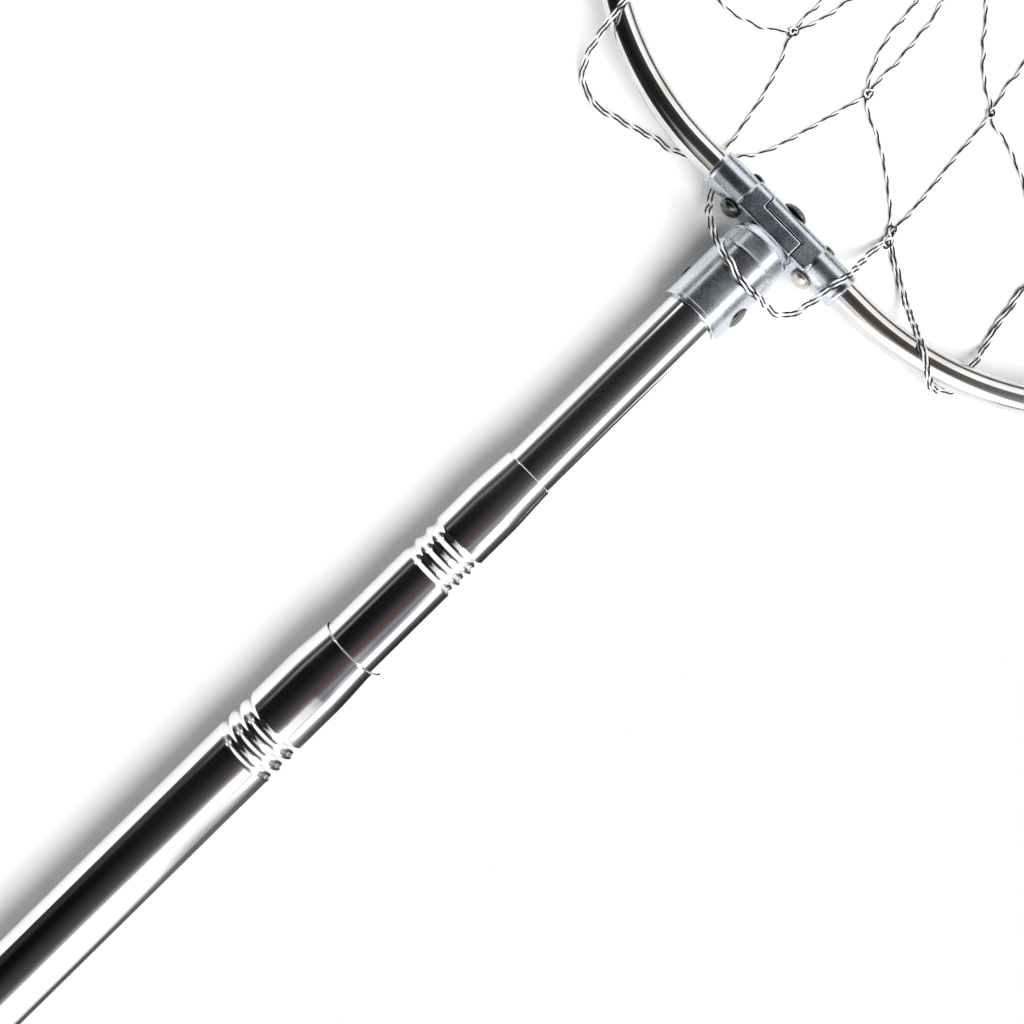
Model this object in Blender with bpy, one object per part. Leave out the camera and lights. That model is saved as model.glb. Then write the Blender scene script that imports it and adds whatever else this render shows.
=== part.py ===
"""Landing net with a three section telescopic handle and a two piece folding hoop.

Metres, +Z up. +X runs along the handle from the butt to the hoop, +Y is the left
half of the hoop. The origin is the centre of the flat rear face of the butt cap.
"""
import math

import bmesh
import bpy
import numpy as np
from mathutils import Matrix, Vector

for old in list(bpy.data.objects):
    bpy.data.objects.remove(old, do_unlink=True)

# ---------------------------------------------------------------- dimensions
MM = 0.001
SEG = 30  # facets round the handle tubes
GAP = 0.25 * MM

WALL = 0.5 * MM
R1 = 11.0 * MM  # outer tube
R2 = 9.5 * MM  # middle tube
R3 = 8.0 * MM  # inner tube
L1 = 380.0 * MM  # butt face to the open end of the outer tube
XC = L1 + 160.5 * MM  # centre plane of the hoop's crossbar
GROOVE = 0.75 * MM  # depth of the rolled grooves
PITCH = 4.15 * MM

X_END1 = XC - 160.5 * MM  # open end of the outer tube
X_END2 = XC - 93.8 * MM  # open end of the middle tube
X_END3 = XC - 8.6 * MM  # front end of the inner tube, inside the hub
X_GROOVE1 = XC - 193.65 * MM  # middle one of the three grooves of each tube
X_GROOVE2 = XC - 125.75 * MM
X_TAPER1 = XC - 174.0 * MM
X_TAPER2 = XC - 107.3 * MM
R_END1 = 10.2 * MM
R_END2 = 8.7 * MM

HUB_BACK = XC - 33.8 * MM
HUB_FRONT = XC - 5.25 * MM
HUB_R = 9.55 * MM
HUB_BORE = 8.08 * MM
HUB_FLOOR = XC - 8.3 * MM

ARM_HALF = 4.9 * MM  # half the thickness of the two stacked lugs
ARM_H = 4.7 * MM  # half the height of a lug
LUG_R = 8.05 * MM
SHOULDER_R = 8.35 * MM
ARM_BLOCK = 12.4 * MM
ARM_END = 24.0 * MM
FERRULE_R = 5.1 * MM
FERRULE_BORE = 4.15 * MM
BORE_FLOOR = 10.3 * MM
ARM_RIVET_Y = 13.4 * MM
PIVOT_R = 2.0 * MM

TUBE_R = 4.0 * MM  # hoop tube
TUBE_WALL = 0.8 * MM
TUBE_START = 10.6 * MM
HOOP_STRAIGHT = 29.5 * MM
HOOP_R = 90.0 * MM
HOOP_SIDE = 60.0 * MM
XT = XC + 2 * HOOP_R + HOOP_SIDE  # centre plane of the hoop's tip

FLOOR = -R1
NET_T = 1.6 * MM
NET_GAP = 2.0 * MM  # from the fold line to each half of the net
NET_TAIL = 44.0 * MM  # how far the bag lies beyond the tip


# ---------------------------------------------------------------- materials
def material(name, colour, metallic, roughness):
    m = bpy.data.materials.new(name)
    m.use_nodes = True
    b = m.node_tree.nodes["Principled BSDF"]
    b.inputs["Base Color"].default_value = (*colour, 1)
    b.inputs["Metallic"].default_value = metallic
    b.inputs["Roughness"].default_value = roughness
    m.diffuse_color = (*colour, 1)
    return m


STEEL = (0.72, 0.72, 0.73)
CAST = (0.55, 0.57, 0.60)
DARK = (0.03, 0.03, 0.035)
LOOK = {
    "outer_tube": (STEEL, 1, 0.08),
    "middle_tube": (STEEL, 1, 0.09),
    "inner_tube": (STEEL, 1, 0.10),
    "butt_cap": (DARK, 0, 0.5),
    "middle_guide_bush": ((0.75, 0.75, 0.72), 0, 0.5),
    "inner_guide_bush": ((0.74, 0.75, 0.72), 0, 0.5),
    "hub": (CAST, 1, 0.25),
    "hub_rivet": ((0.5, 0.5, 0.5), 1, 0.3),
    "pivot_rivet": ((0.52, 0.5, 0.48), 1, 0.3),
    "pivot_washer": ((0.6, 0.6, 0.6), 1, 0.3),
    "left_arm": (CAST, 1, 0.27),
    "right_arm": (CAST, 1, 0.28),
    "left_arm_rivet": ((0.5, 0.48, 0.45), 1, 0.3),
    "right_arm_rivet": ((0.55, 0.45, 0.36), 1, 0.3),
    "left_hoop_tube": (STEEL, 1, 0.1),
    "right_hoop_tube": (STEEL, 1, 0.11),
    "left_tip_arm": (CAST, 1, 0.29),
    "right_tip_arm": (CAST, 1, 0.3),
    "tip_rivet": ((0.5, 0.5, 0.48), 1, 0.3),
    "left_tip_rivet": ((0.5, 0.48, 0.46), 1, 0.3),
    "right_tip_rivet": ((0.5, 0.47, 0.45), 1, 0.3),
    "left_net": ((0.8, 0.8, 0.8), 0, 0.8),
    "right_net": ((0.82, 0.8, 0.8), 0, 0.8),
}


def finish(name, bm, origin=(0, 0, 0), triangulate=False):
    """Make the named object from a mesh in world coordinates, with its own origin."""
    bmesh.ops.translate(bm, verts=bm.verts, vec=-Vector(origin))
    bmesh.ops.recalc_face_normals(bm, faces=bm.faces)
    if triangulate:
        bmesh.ops.triangulate(bm, faces=bm.faces)
    me = bpy.data.meshes.new(name)
    bm.to_mesh(me)
    bm.free()
    ob = bpy.data.objects.new(name, me)
    ob.location = origin
    bpy.context.scene.collection.objects.link(ob)
    me.materials.append(material("mat_" + name, *LOOK[name]))
    return ob


# ---------------------------------------------------------------- shapes
def revolve(profile, centre=(0, 0, 0), axis="X", seg=SEG, turn=0.0):
    """A closed body: the closed profile of (along, radius) points turned about an axis.
    Points of zero radius become poles."""
    bm = bmesh.new()
    c = Vector(centre)
    rings = []
    for a, r in profile:
        if r <= 1e-9:
            rings.append([bm.verts.new(place(c, axis, a, 0, 0))])
            continue
        ring = []
        for k in range(seg):
            t = turn + 2 * math.pi * (k + 0.5) / seg
            ring.append(bm.verts.new(place(c, axis, a, r * math.cos(t), r * math.sin(t))))
        rings.append(ring)
    n = len(rings)
    for i in range(n):
        a, b = rings[i], rings[(i + 1) % n]
        if len(a) == 1 and len(b) == 1:
            continue
        for k in range(seg):
            j = (k + 1) % seg
            if len(a) == 1:
                bm.faces.new((a[0], b[k], b[j]))
            elif len(b) == 1:
                bm.faces.new((a[k], b[0], a[j]))
            else:
                bm.faces.new((a[k], b[k], b[j], a[j]))
    return bm


def place(c, axis, a, u, v):
    if axis == "X":
        return c + Vector((a, u, v))
    if axis == "Y":
        return c + Vector((v, a, u))
    return c + Vector((u, v, a))


def rib_wave(x, middle, r, depth, left, right):
    """Outer radius at x beside three rolled grooves one pitch apart."""
    out = 0.0
    for k in (-1, 0, 1):
        d = abs(x - (middle + k * PITCH)) / (PITCH * 0.5)
        if d < 1:
            out = max(out, 0.5 * (1 + math.cos(math.pi * d)))
    return r - depth * out


def ribbed_tube(x0, x1, r, middle, x_taper, r_end, wall):
    """Closed profile of a tube with three grooves and a tapered open end."""
    xs = [x0]
    lo, hi = middle - 1.5 * PITCH, middle + 1.5 * PITCH
    n = 12
    xs += [lo + (hi - lo) * i / n for i in range(n + 1)]
    outer = [(x, rib_wave(x, middle, r, GROOVE, lo, hi)) for x in xs]
    inner = [(x, q - wall) for x, q in outer]
    steps = 4
    for i in range(steps + 1):
        t = i / steps
        s = t * t * (3 - 2 * t) * 0.55 + t * 0.45
        x = x_taper + (x1 - x_taper) * t
        q = r + (r_end - r) * s
        outer.append((x, q))
        inner.append((x, q - wall - (0.0 if i < steps else -0.05 * MM)))
    return outer + inner[::-1]


def boolean(bm_a, bm_b, op):
    """bm_a op bm_b with the exact solver, as a new bmesh."""
    made = []
    for bm in (bm_a, bm_b):
        bmesh.ops.recalc_face_normals(bm, faces=bm.faces)
        me = bpy.data.meshes.new("tmp")
        bm.to_mesh(me)
        bm.free()
        ob = bpy.data.objects.new("tmp", me)
        bpy.context.scene.collection.objects.link(ob)
        made.append(ob)
    mod = made[0].modifiers.new("b", "BOOLEAN")
    mod.object, mod.operation, mod.solver = made[1], op, "EXACT"
    bpy.context.view_layer.update()
    dg = bpy.context.evaluated_depsgraph_get()
    ev = made[0].evaluated_get(dg)
    out = bmesh.new()
    out.from_mesh(ev.to_mesh())
    ev.to_mesh_clear()
    for ob in made:
        me = ob.data
        bpy.data.objects.remove(ob, do_unlink=True)
        bpy.data.meshes.remove(me)
    bmesh.ops.remove_doubles(out, verts=out.verts, dist=2e-6)
    bmesh.ops.dissolve_degenerate(out, edges=out.edges, dist=2e-6)
    return out


def prism(outline, x0, x1):
    """The closed outline of (y, z) points drawn out along X."""
    bm = bmesh.new()
    a = [bm.verts.new((x0, y, z)) for y, z in outline]
    b = [bm.verts.new((x1, y, z)) for y, z in outline]
    bm.faces.new(a)
    bm.faces.new(b[::-1])
    n = len(a)
    for i in range(n):
        j = (i + 1) % n
        bm.faces.new((a[i], b[i], b[j], a[j]))
    return bm


def arc(r, a0, a1, n):
    return [
        (r * math.cos(a0 + (a1 - a0) * i / n), r * math.sin(a0 + (a1 - a0) * i / n))
        for i in range(n + 1)
    ]


def rivet(x_head, x_tail, r, head_r, head_h, tail_r, tail_h, centre, seg=16, toward=-1):
    """A rivet along X: a domed head at x_head, a lower domed tail at x_tail. Both
    domes face away from the shank. toward is the side of the head, -1 or 1."""
    prof = []
    n = 4
    for i in range(n + 1):
        t = math.pi / 2 * i / n
        prof.append((x_head + toward * (0.25 * MM + (head_h - 0.25 * MM) * math.cos(t)), head_r * math.sin(t)))
    prof[0] = (prof[0][0], 0.0)
    prof.append((x_head, head_r))
    prof.append((x_head, r))
    prof.append((x_tail, r))
    prof.append((x_tail, tail_r))
    for i in range(n, -1, -1):
        t = math.pi / 2 * i / n
        prof.append((x_tail - toward * (0.15 * MM + (tail_h - 0.15 * MM) * math.cos(t)), tail_r * math.sin(t)))
    prof[-1] = (prof[-1][0], 0.0)
    return revolve(prof, centre, "X", seg)


# ---------------------------------------------------------------- handle
X_MID_BUSH = 18 * MM
X_MID_REAR = 26.3 * MM
X_IN_BUSH = 44 * MM
X_IN_REAR = 52.3 * MM

finish(
    "outer_tube",
    revolve(ribbed_tube(3.3 * MM, X_END1, R1, X_GROOVE1, X_TAPER1, R_END1, WALL)),
    (3.3 * MM, 0, 0),
)
finish(
    "middle_tube",
    revolve(ribbed_tube(X_MID_REAR, X_END2, R2, X_GROOVE2, X_TAPER2, R_END2, WALL)),
    (X_MID_REAR, 0, 0),
)
finish(
    "butt_cap",
    revolve(
        [
            (0, 0),
            (0, R1 - 1.0 * MM),
            (0.3 * MM, R1 - 0.35 * MM),
            (1.0 * MM, R1),
            (3.0 * MM, R1),
            (3.0 * MM, R1 - WALL - 0.1 * MM),
            (14 * MM, R1 - WALL - 0.1 * MM),
            (15 * MM, R1 - WALL - 0.6 * MM),
            (15 * MM, 7.5 * MM),
            (5 * MM, 7.5 * MM),
            (5 * MM, 0),
        ]
    ),
)


def bush(name, x0, flange, x_tube, shank, shank_end, bore):
    finish(
        name,
        revolve(
            [
                (x0 + 0.5 * MM, bore),
                (x0, bore + 0.5 * MM),
                (x0, flange - 0.5 * MM),
                (x0 + 0.5 * MM, flange),
                (x_tube - 0.8 * MM, flange),
                (x_tube - 0.3 * MM, flange - 0.4 * MM),
                (x_tube - 0.3 * MM, shank),
                (shank_end - 0.5 * MM, shank),
                (shank_end, shank - 0.5 * MM),
                (shank_end, bore),
            ]
        ),
        (x0, 0, 0),
    )


bush("middle_guide_bush", X_MID_BUSH, R1 - WALL - 0.2 * MM, X_MID_REAR, R2 - WALL - 0.1 * MM, 40 * MM, 6.6 * MM)
bush("inner_guide_bush", X_IN_BUSH, R2 - WALL - 0.2 * MM, X_IN_REAR, R3 - WALL - 0.1 * MM, 64 * MM, 5.2 * MM)

# ---------------------------------------------------------------- hub and its rivet
RIVET_X = XC - 25.4 * MM
RIVET_TILT = math.radians(15)


def cross_cylinder(x, r, half, tilt, seg=16):
    """A cylinder through the handle's axis at x, across it, tilted from Y towards Z."""
    bm = revolve([(-half, 0), (-half, r), (half, r), (half, 0)], (0, 0, 0), "Y", seg)
    bmesh.ops.rotate(bm, verts=bm.verts, cent=(0, 0, 0), matrix=Matrix.Rotation(-tilt, 3, "X"))
    bmesh.ops.translate(bm, verts=bm.verts, vec=(x, 0, 0))
    return bm


hub_profile = [
    (HUB_BACK, HUB_BORE),
    (HUB_BACK, HUB_R - 0.15 * MM),
    (HUB_BACK + 0.2 * MM, HUB_R + 0.05 * MM),
    (HUB_BACK + 1.2 * MM, HUB_R + 0.05 * MM),
    (HUB_BACK + 1.6 * MM, HUB_R),
    (XC - 13.5 * MM, HUB_R),
    (XC - 13.1 * MM, HUB_R - 0.12 * MM),
    (XC - 8.2 * MM, HUB_R - 0.2 * MM),
    (XC - 7.8 * MM, HUB_R - 0.45 * MM),
    (XC - 6.3 * MM, HUB_R - 0.95 * MM),
    (XC - 5.55 * MM, HUB_R - 1.7 * MM),
    (HUB_FRONT, HUB_R - 2.4 * MM),
    (HUB_FRONT, PIVOT_R + 0.12 * MM),
    (HUB_FLOOR, PIVOT_R + 0.12 * MM),
    (HUB_FLOOR, HUB_BORE - 0.5 * MM),
    (HUB_FLOOR - 0.25 * MM, HUB_BORE),
]
hub = revolve(hub_profile)
hub = boolean(hub, cross_cylinder(RIVET_X, 1.55 * MM, 14 * MM, RIVET_TILT), "DIFFERENCE")
# a shallow flat seat for each end of the rivet
seat = cross_cylinder(RIVET_X, 3.25 * MM, 3 * MM, RIVET_TILT, 20)
bmesh.ops.translate(seat, verts=seat.verts, vec=Vector((0, -math.cos(RIVET_TILT), math.sin(RIVET_TILT))) * (HUB_R + 3 * MM - 0.55 * MM))
hub = boolean(hub, seat, "DIFFERENCE")
finish("hub", hub, (XC, 0, 0))

inner = revolve([(X_IN_REAR, R3 - WALL), (X_IN_REAR, R3), (X_END3, R3), (X_END3, R3 - WALL)])
inner = boolean(inner, cross_cylinder(RIVET_X, 1.55 * MM, 14 * MM, RIVET_TILT), "DIFFERENCE")
finish("inner_tube", inner, (X_IN_REAR, 0, 0))

rv = []
n = 4
h0, h1 = HUB_R - 0.5 * MM, HUB_R + 0.75 * MM
for i in range(n + 1):
    t = math.pi / 2 * i / n
    rv.append((-(h0 + 0.2 * MM + (h1 - h0 - 0.2 * MM) * math.cos(t)), 3.05 * MM * math.sin(t)))
rv[0] = (rv[0][0], 0.0)
rv += [(-h0, 3.05 * MM), (-h0, 1.45 * MM), (HUB_R + 0.05 * MM, 1.45 * MM), (HUB_R + 0.05 * MM, 2.3 * MM)]
for i in range(3, -1, -1):
    t = math.pi / 2 * i / 3
    rv.append((HUB_R + 0.15 * MM + 0.5 * MM * math.cos(t), 2.3 * MM * math.sin(t)))
rv[-1] = (rv[-1][0], 0.0)
hub_rivet = revolve(rv, (0, 0, 0), "Y", 16)
bmesh.ops.rotate(hub_rivet, verts=hub_rivet.verts, cent=(0, 0, 0), matrix=Matrix.Rotation(-RIVET_TILT, 3, "X"))
bmesh.ops.translate(hub_rivet, verts=hub_rivet.verts, vec=(RIVET_X, 0, 0))
finish("hub_rivet", hub_rivet, (RIVET_X, 0, 0))


# ---------------------------------------------------------------- cast arms
def arm(side, lug_half, xc, hole=True):
    """One cast arm of a half-lap joint whose pivot runs along X through (xc, 0, 0).
    side is the sign of Y that the arm reaches to, lug_half the sign of X that its
    lug lies on. The other half of its thickness ends in a hollow round shoulder."""
    h, w = ARM_H, ARM_HALF
    block = side * ARM_BLOCK
    near = 0.15 * MM
    # lug: a disc about the pivot with two flats, drawn out into the block
    a = math.asin(h / LUG_R)
    disc = arc(LUG_R, math.pi / 2 + (math.pi / 2 - a), math.pi * 1.5 - (math.pi / 2 - a), 10)
    disc = [(-y * -1, z) for y, z in disc]
    lug = [(y * side, z) for y, z in disc] + [(block, -h), (block, h)]
    x0, x1 = (-w, -near) if lug_half < 0 else (near, w)
    lug_bm = prism(lug, x0, x1)
    # shoulder half: hollow round face about the pivot
    b = math.asin(h / SHOULDER_R)
    face = [(y * side, z) for y, z in arc(SHOULDER_R, b, -b, 8)]
    sh = face + [(block, -h), (block, h)]
    x2, x3 = (-near, w) if lug_half < 0 else (-w, near)
    sh_bm = prism(sh, x2, x3)
    out = boolean(lug_bm, sh_bm, "UNION")
    # ferrule
    y0, y1 = side * (ARM_BLOCK - 1.6 * MM), side * ARM_END
    fer = revolve(
        [
            (y0, 0),
            (y0, ARM_H * 0.9),
            (side * (ARM_BLOCK + 0.6 * MM), FERRULE_R),
            (side * (ARM_END - 0.5 * MM), FERRULE_R),
            (y1, FERRULE_R - 0.35 * MM),
            (y1, 0),
        ],
        (0, 0, 0),
        "Y",
        28,
    )
    out = boolean(out, fer, "UNION")
    bore = revolve(
        [
            (side * BORE_FLOOR, 0),
            (side * BORE_FLOOR, FERRULE_BORE),
            (side * (ARM_END + 1 * MM), FERRULE_BORE),
            (side * (ARM_END + 1 * MM), 0),
        ],
        (0, 0, 0),
        "Y",
        20,
    )
    out = boolean(out, bore, "DIFFERENCE")
    pin = revolve([(-9 * MM, 0), (-9 * MM, PIVOT_R + 0.12 * MM), (9 * MM, PIVOT_R + 0.12 * MM), (9 * MM, 0)], (0, 0, 0), "X", 20)
    out = boolean(out, pin, "DIFFERENCE")
    rv_hole = revolve([(-9 * MM, 0), (-9 * MM, 1.55 * MM), (9 * MM, 1.55 * MM), (9 * MM, 0)], (0, side * ARM_RIVET_Y, 0), "X", 16)
    out = boolean(out, rv_hole, "DIFFERENCE")
    bmesh.ops.translate(out, verts=out.verts, vec=(xc, 0, 0))
    return out


finish("left_arm", arm(1, -1, XC), (XC, 0, 0))
finish("right_arm", arm(-1, 1, XC), (XC, 0, 0))
finish("left_tip_arm", arm(1, 1, XT), (XT, 0, 0))
finish("right_tip_arm", arm(-1, -1, XT), (XT, 0, 0))

SEAT = FERRULE_R + 0.06 * MM
for name, xc, side, toward in (
    ("left_arm_rivet", XC, 1, -1),
    ("right_arm_rivet", XC, -1, -1),
    ("left_tip_rivet", XT, 1, 1),
    ("right_tip_rivet", XT, -1, 1),
):
    centre = (xc, side * ARM_RIVET_Y, 0)
    finish(
        name,
        rivet(toward * SEAT, -toward * SEAT, 1.45 * MM, 3.1 * MM, 2.2 * MM, 2.1 * MM, 0.9 * MM, centre, 16, toward),
        centre,
    )

# pivot through both lugs and the front wall of the hub, spread over a washer inside it
finish(
    "pivot_rivet",
    rivet(ARM_HALF + 0.12 * MM, HUB_FLOOR - XC - 0.95 * MM, PIVOT_R, 4.0 * MM, 2.1 * MM, 3.0 * MM, 1.0 * MM, (XC, 0, 0), 20, 1),
    (XC, 0, 0),
)
finish(
    "pivot_washer",
    revolve(
        [
            (HUB_FLOOR - 0.1 * MM, PIVOT_R + 0.12 * MM),
            (HUB_FLOOR - 0.1 * MM, 5.0 * MM),
            (HUB_FLOOR - 0.85 * MM, 5.0 * MM),
            (HUB_FLOOR - 0.85 * MM, PIVOT_R + 0.12 * MM),
        ],
        (0, 0, 0),
        "X",
        20,
    ),
    (XC, 0, 0),
)
finish(
    "tip_rivet",
    rivet(ARM_HALF + 0.12 * MM, -ARM_HALF - 0.12 * MM, PIVOT_R, 4.0 * MM, 2.1 * MM, 3.2 * MM, 1.2 * MM, (XT, 0, 0), 20, 1),
    (XT, 0, 0),
)


# ---------------------------------------------------------------- hoop tubes
def hoop_path():
    """The centre line of the left half of the hoop, as (x, y) points with tangents."""
    pts = [(XC, TUBE_START, 0.0, 1.0), (XC, ARM_END, 0.0, 1.0)]
    n = 10
    for i in range(n + 1):
        t = math.pi / 2 * i / n
        pts.append((XC + HOOP_R * (1 - math.cos(t)), HOOP_STRAIGHT + HOOP_R * math.sin(t), math.sin(t), math.cos(t)))
    for i in range(n + 1):
        t = math.pi / 2 * i / n
        pts.append((XT - HOOP_R * (1 - math.sin(t)), HOOP_STRAIGHT + HOOP_R * math.cos(t), math.cos(t), -math.sin(t)))
    pts += [(XT, ARM_END, 0.0, -1.0), (XT, TUBE_START, 0.0, -1.0)]
    return pts


def hoop_tube(side):
    bm = bmesh.new()
    seg = 12
    outer, inner = [], []
    for x, y, tx, ty in hoop_path():
        nx, ny = ty, -tx
        for rings, r in ((outer, TUBE_R), (inner, TUBE_R - TUBE_WALL)):
            ring = []
            for k in range(seg):
                a = 2 * math.pi * (k + 0.5) / seg
                ring.append(bm.verts.new((x + nx * r * math.cos(a), side * (y + ny * r * math.cos(a)), r * math.sin(a))))
            rings.append(ring)
    for rings in (outer, inner):
        for a, b in zip(rings, rings[1:]):
            for k in range(seg):
                j = (k + 1) % seg
                bm.faces.new((a[k], a[j], b[j], b[k]))
    for o, i in ((outer[0], inner[0]), (outer[-1], inner[-1])):
        for k in range(seg):
            j = (k + 1) % seg
            bm.faces.new((o[k], o[j], i[j], i[k]))
    for xc in (XC, XT):
        hole = revolve([(-9 * MM, 0), (-9 * MM, 1.55 * MM), (9 * MM, 1.55 * MM), (9 * MM, 0)], (xc, side * ARM_RIVET_Y, 0), "X", 16)
        bm = boolean(bm, hole, "DIFFERENCE")
    return bm


finish("left_hoop_tube", hoop_tube(1), (XC, 0, 0))
finish("right_hoop_tube", hoop_tube(-1), (XC, 0, 0))


# ---------------------------------------------------------------- net bag, one half to each half of the hoop
def hoop_y(x):
    """Half width of the hoop's centre line at x."""
    if x <= XC + HOOP_R:
        return HOOP_STRAIGHT + math.sqrt(max(0.0, HOOP_R**2 - (XC + HOOP_R - x) ** 2))
    if x <= XC + HOOP_R + HOOP_SIDE:
        return HOOP_STRAIGHT + HOOP_R
    return HOOP_STRAIGHT + math.sqrt(max(0.0, HOOP_R**2 - (x - XC - HOOP_R - HOOP_SIDE) ** 2))


def smooth(t):
    t = min(1.0, max(0.0, t))
    return t * t * (3 - 2 * t)


X_NET0 = XC + 7.2 * MM
X_NET1 = XT + NET_TAIL
X_TURN = XC + HOOP_R + 10 * MM
END_W = 52 * MM


def net_y(x):
    if x <= X_TURN:
        return hoop_y(x)
    return hoop_y(X_TURN) + (END_W - hoop_y(X_TURN)) * smooth((x - X_TURN) / (X_NET1 - X_TURN))


def net_half(side):
    """A thin sheet lying on the ground, its edge raised to the underside of the tube
    round the handle's half of the hoop."""
    bm = bmesh.new()
    nx, ny = 26, 9
    top, low = [], []
    for i in range(nx + 1):
        s = i / nx
        x = X_NET0 + (X_NET1 - X_NET0) * (s**1.35)
        ymax = net_y(x) - 0.3 * MM
        rise_x = 1 - smooth((x - X_NET0) / (22 * MM))
        fade = 1 - smooth((x - X_TURN) / (60 * MM))
        rt, rl = [], []
        for j in range(ny + 1):
            v = 1 - (1 - j / ny) ** 1.5
            y = NET_GAP + (ymax - NET_GAP) * v
            edge = (1 - smooth((ymax - y) / (22 * MM))) * fade
            lift = max(rise_x * (1.0 if y < hoop_y(x) else 0), edge)
            z = FLOOR + lift * (-4.4 * MM - NET_T - FLOOR)
            rt.append(bm.verts.new((x, side * y, z + NET_T)))
            rl.append(bm.verts.new((x, side * y, z)))
        top.append(rt)
        low.append(rl)
    for rows in (top, low):
        for a, b in zip(rows, rows[1:]):
            for j in range(ny):
                bm.faces.new((a[j], b[j], b[j + 1]))
                bm.faces.new((a[j], b[j + 1], a[j + 1]))
    def rim(u, v):
        for k in range(len(u) - 1):
            bm.faces.new((u[k], u[k + 1], v[k + 1]))
            bm.faces.new((u[k], v[k + 1], v[k]))
    rim(top[0], low[0])
    rim(top[-1], low[-1])
    rim([r[0] for r in top], [r[0] for r in low])
    rim([r[-1] for r in top], [r[-1] for r in low])
    return bm


finish("left_net", net_half(1), (XC, 0, 0))
finish("right_net", net_half(-1), (XC, 0, 0))
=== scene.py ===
"""Looks for the landing net: polished telescopic tubes, a cast folding head, hoop
tubes and a bag of twisted black and white twine, on a white table."""

import math

import bmesh
import bpy
import numpy as np
from mathutils import Matrix, Vector


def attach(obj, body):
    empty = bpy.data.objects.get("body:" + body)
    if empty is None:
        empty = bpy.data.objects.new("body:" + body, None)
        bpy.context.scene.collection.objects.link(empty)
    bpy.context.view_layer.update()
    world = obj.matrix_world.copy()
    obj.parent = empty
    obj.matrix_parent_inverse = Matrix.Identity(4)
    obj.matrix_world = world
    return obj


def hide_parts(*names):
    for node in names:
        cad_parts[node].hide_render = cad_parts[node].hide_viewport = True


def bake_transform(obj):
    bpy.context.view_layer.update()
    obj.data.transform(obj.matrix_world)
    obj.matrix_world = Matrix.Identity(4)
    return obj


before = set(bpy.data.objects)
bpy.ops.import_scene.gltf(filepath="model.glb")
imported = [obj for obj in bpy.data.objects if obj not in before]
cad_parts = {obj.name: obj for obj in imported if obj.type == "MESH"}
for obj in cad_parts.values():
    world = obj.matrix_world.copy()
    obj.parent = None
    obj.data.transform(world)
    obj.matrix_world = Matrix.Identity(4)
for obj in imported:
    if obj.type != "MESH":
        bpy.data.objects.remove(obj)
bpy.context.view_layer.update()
scene = bpy.context.scene

# ---------------------------------------------------------------- dimensions, in the row frame
MM = 0.001
XC = 540.5 * MM  # centre plane of the hoop's crossbar
R1, R2, R3, WALL = 11.0 * MM, 9.5 * MM, 8.0 * MM, 0.5 * MM
X_END1, X_END2, X_END3 = XC - 160.5 * MM, XC - 93.8 * MM, XC - 8.6 * MM
X_GROOVE1, X_GROOVE2 = XC - 193.65 * MM, XC - 125.75 * MM
X_TAPER1, X_TAPER2 = XC - 174.0 * MM, XC - 107.3 * MM
R_END1, R_END2 = 10.2 * MM, 8.7 * MM
GROOVE, PITCH = 0.75 * MM, 4.15 * MM
X_MID_REAR, X_IN_REAR = 26.3 * MM, 52.3 * MM

HUB_BACK, HUB_FRONT = XC - 33.8 * MM, XC - 5.25 * MM
HUB_R, HUB_BORE, HUB_FLOOR = 9.55 * MM, 8.08 * MM, XC - 8.3 * MM
RIVET_X, RIVET_TILT = XC - 25.4 * MM, math.radians(15)

ARM_HALF, ARM_H = 4.9 * MM, 4.7 * MM
LUG_R, SHOULDER_R = 8.05 * MM, 8.35 * MM
ARM_BLOCK, ARM_END = 12.4 * MM, 24.0 * MM
FERRULE_R, FERRULE_BORE, BORE_FLOOR = 5.1 * MM, 4.15 * MM, 10.3 * MM
ARM_RIVET_Y, PIVOT_R = 13.4 * MM, 2.0 * MM

TUBE_R, TUBE_WALL, TUBE_START = 4.0 * MM, 0.8 * MM, 10.6 * MM
HOOP_STRAIGHT, HOOP_R, HOOP_SIDE = 29.5 * MM, 90.0 * MM, 60.0 * MM
XT = XC + 2 * HOOP_R + HOOP_SIDE
FLOOR = -R1


# ---------------------------------------------------------------- materials
def new_material(name):
    m = bpy.data.materials.new(name)
    m.use_nodes = True
    nt = m.node_tree
    return m, nt, nt.nodes["Principled BSDF"]


def node(nt, kind, **kw):
    n = nt.nodes.new(kind)
    for k, v in kw.items():
        if k in n.inputs:
            n.inputs[k].default_value = v
        else:
            setattr(n, k, v)
    return n


def stretched(nt, scale):
    """Object coordinates scaled by axis."""
    tc = node(nt, "ShaderNodeTexCoord")
    mp = node(nt, "ShaderNodeMapping")
    mp.inputs["Scale"].default_value = scale
    nt.links.new(tc.outputs["Object"], mp.inputs["Vector"])
    return mp.outputs["Vector"]


def ramp(nt, src, stops, interpolation="LINEAR"):
    r = node(nt, "ShaderNodeValToRGB")
    r.color_ramp.interpolation = interpolation
    els = r.color_ramp.elements
    while len(els) < len(stops):
        els.new(0.5)
    for e, (p, c) in zip(els, stops):
        e.position = p
        e.color = (*c, 1) if hasattr(c, "__len__") else (c, c, c, 1)
    nt.links.new(src, r.inputs["Fac"])
    return r.outputs["Color"]


def bump(nt, height, distance, strength=1.0, under=None):
    b = node(nt, "ShaderNodeBump", Strength=strength, Distance=distance)
    nt.links.new(height, b.inputs["Height"])
    if under is not None:
        nt.links.new(under, b.inputs["Normal"])
    return b.outputs["Normal"]


def noise(nt, vec, scale, detail=3.0, rough=0.5):
    n = node(nt, "ShaderNodeTexNoise", Scale=scale, Detail=detail, Roughness=rough)
    nt.links.new(vec, n.inputs["Vector"])
    return n.outputs["Fac"]


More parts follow.
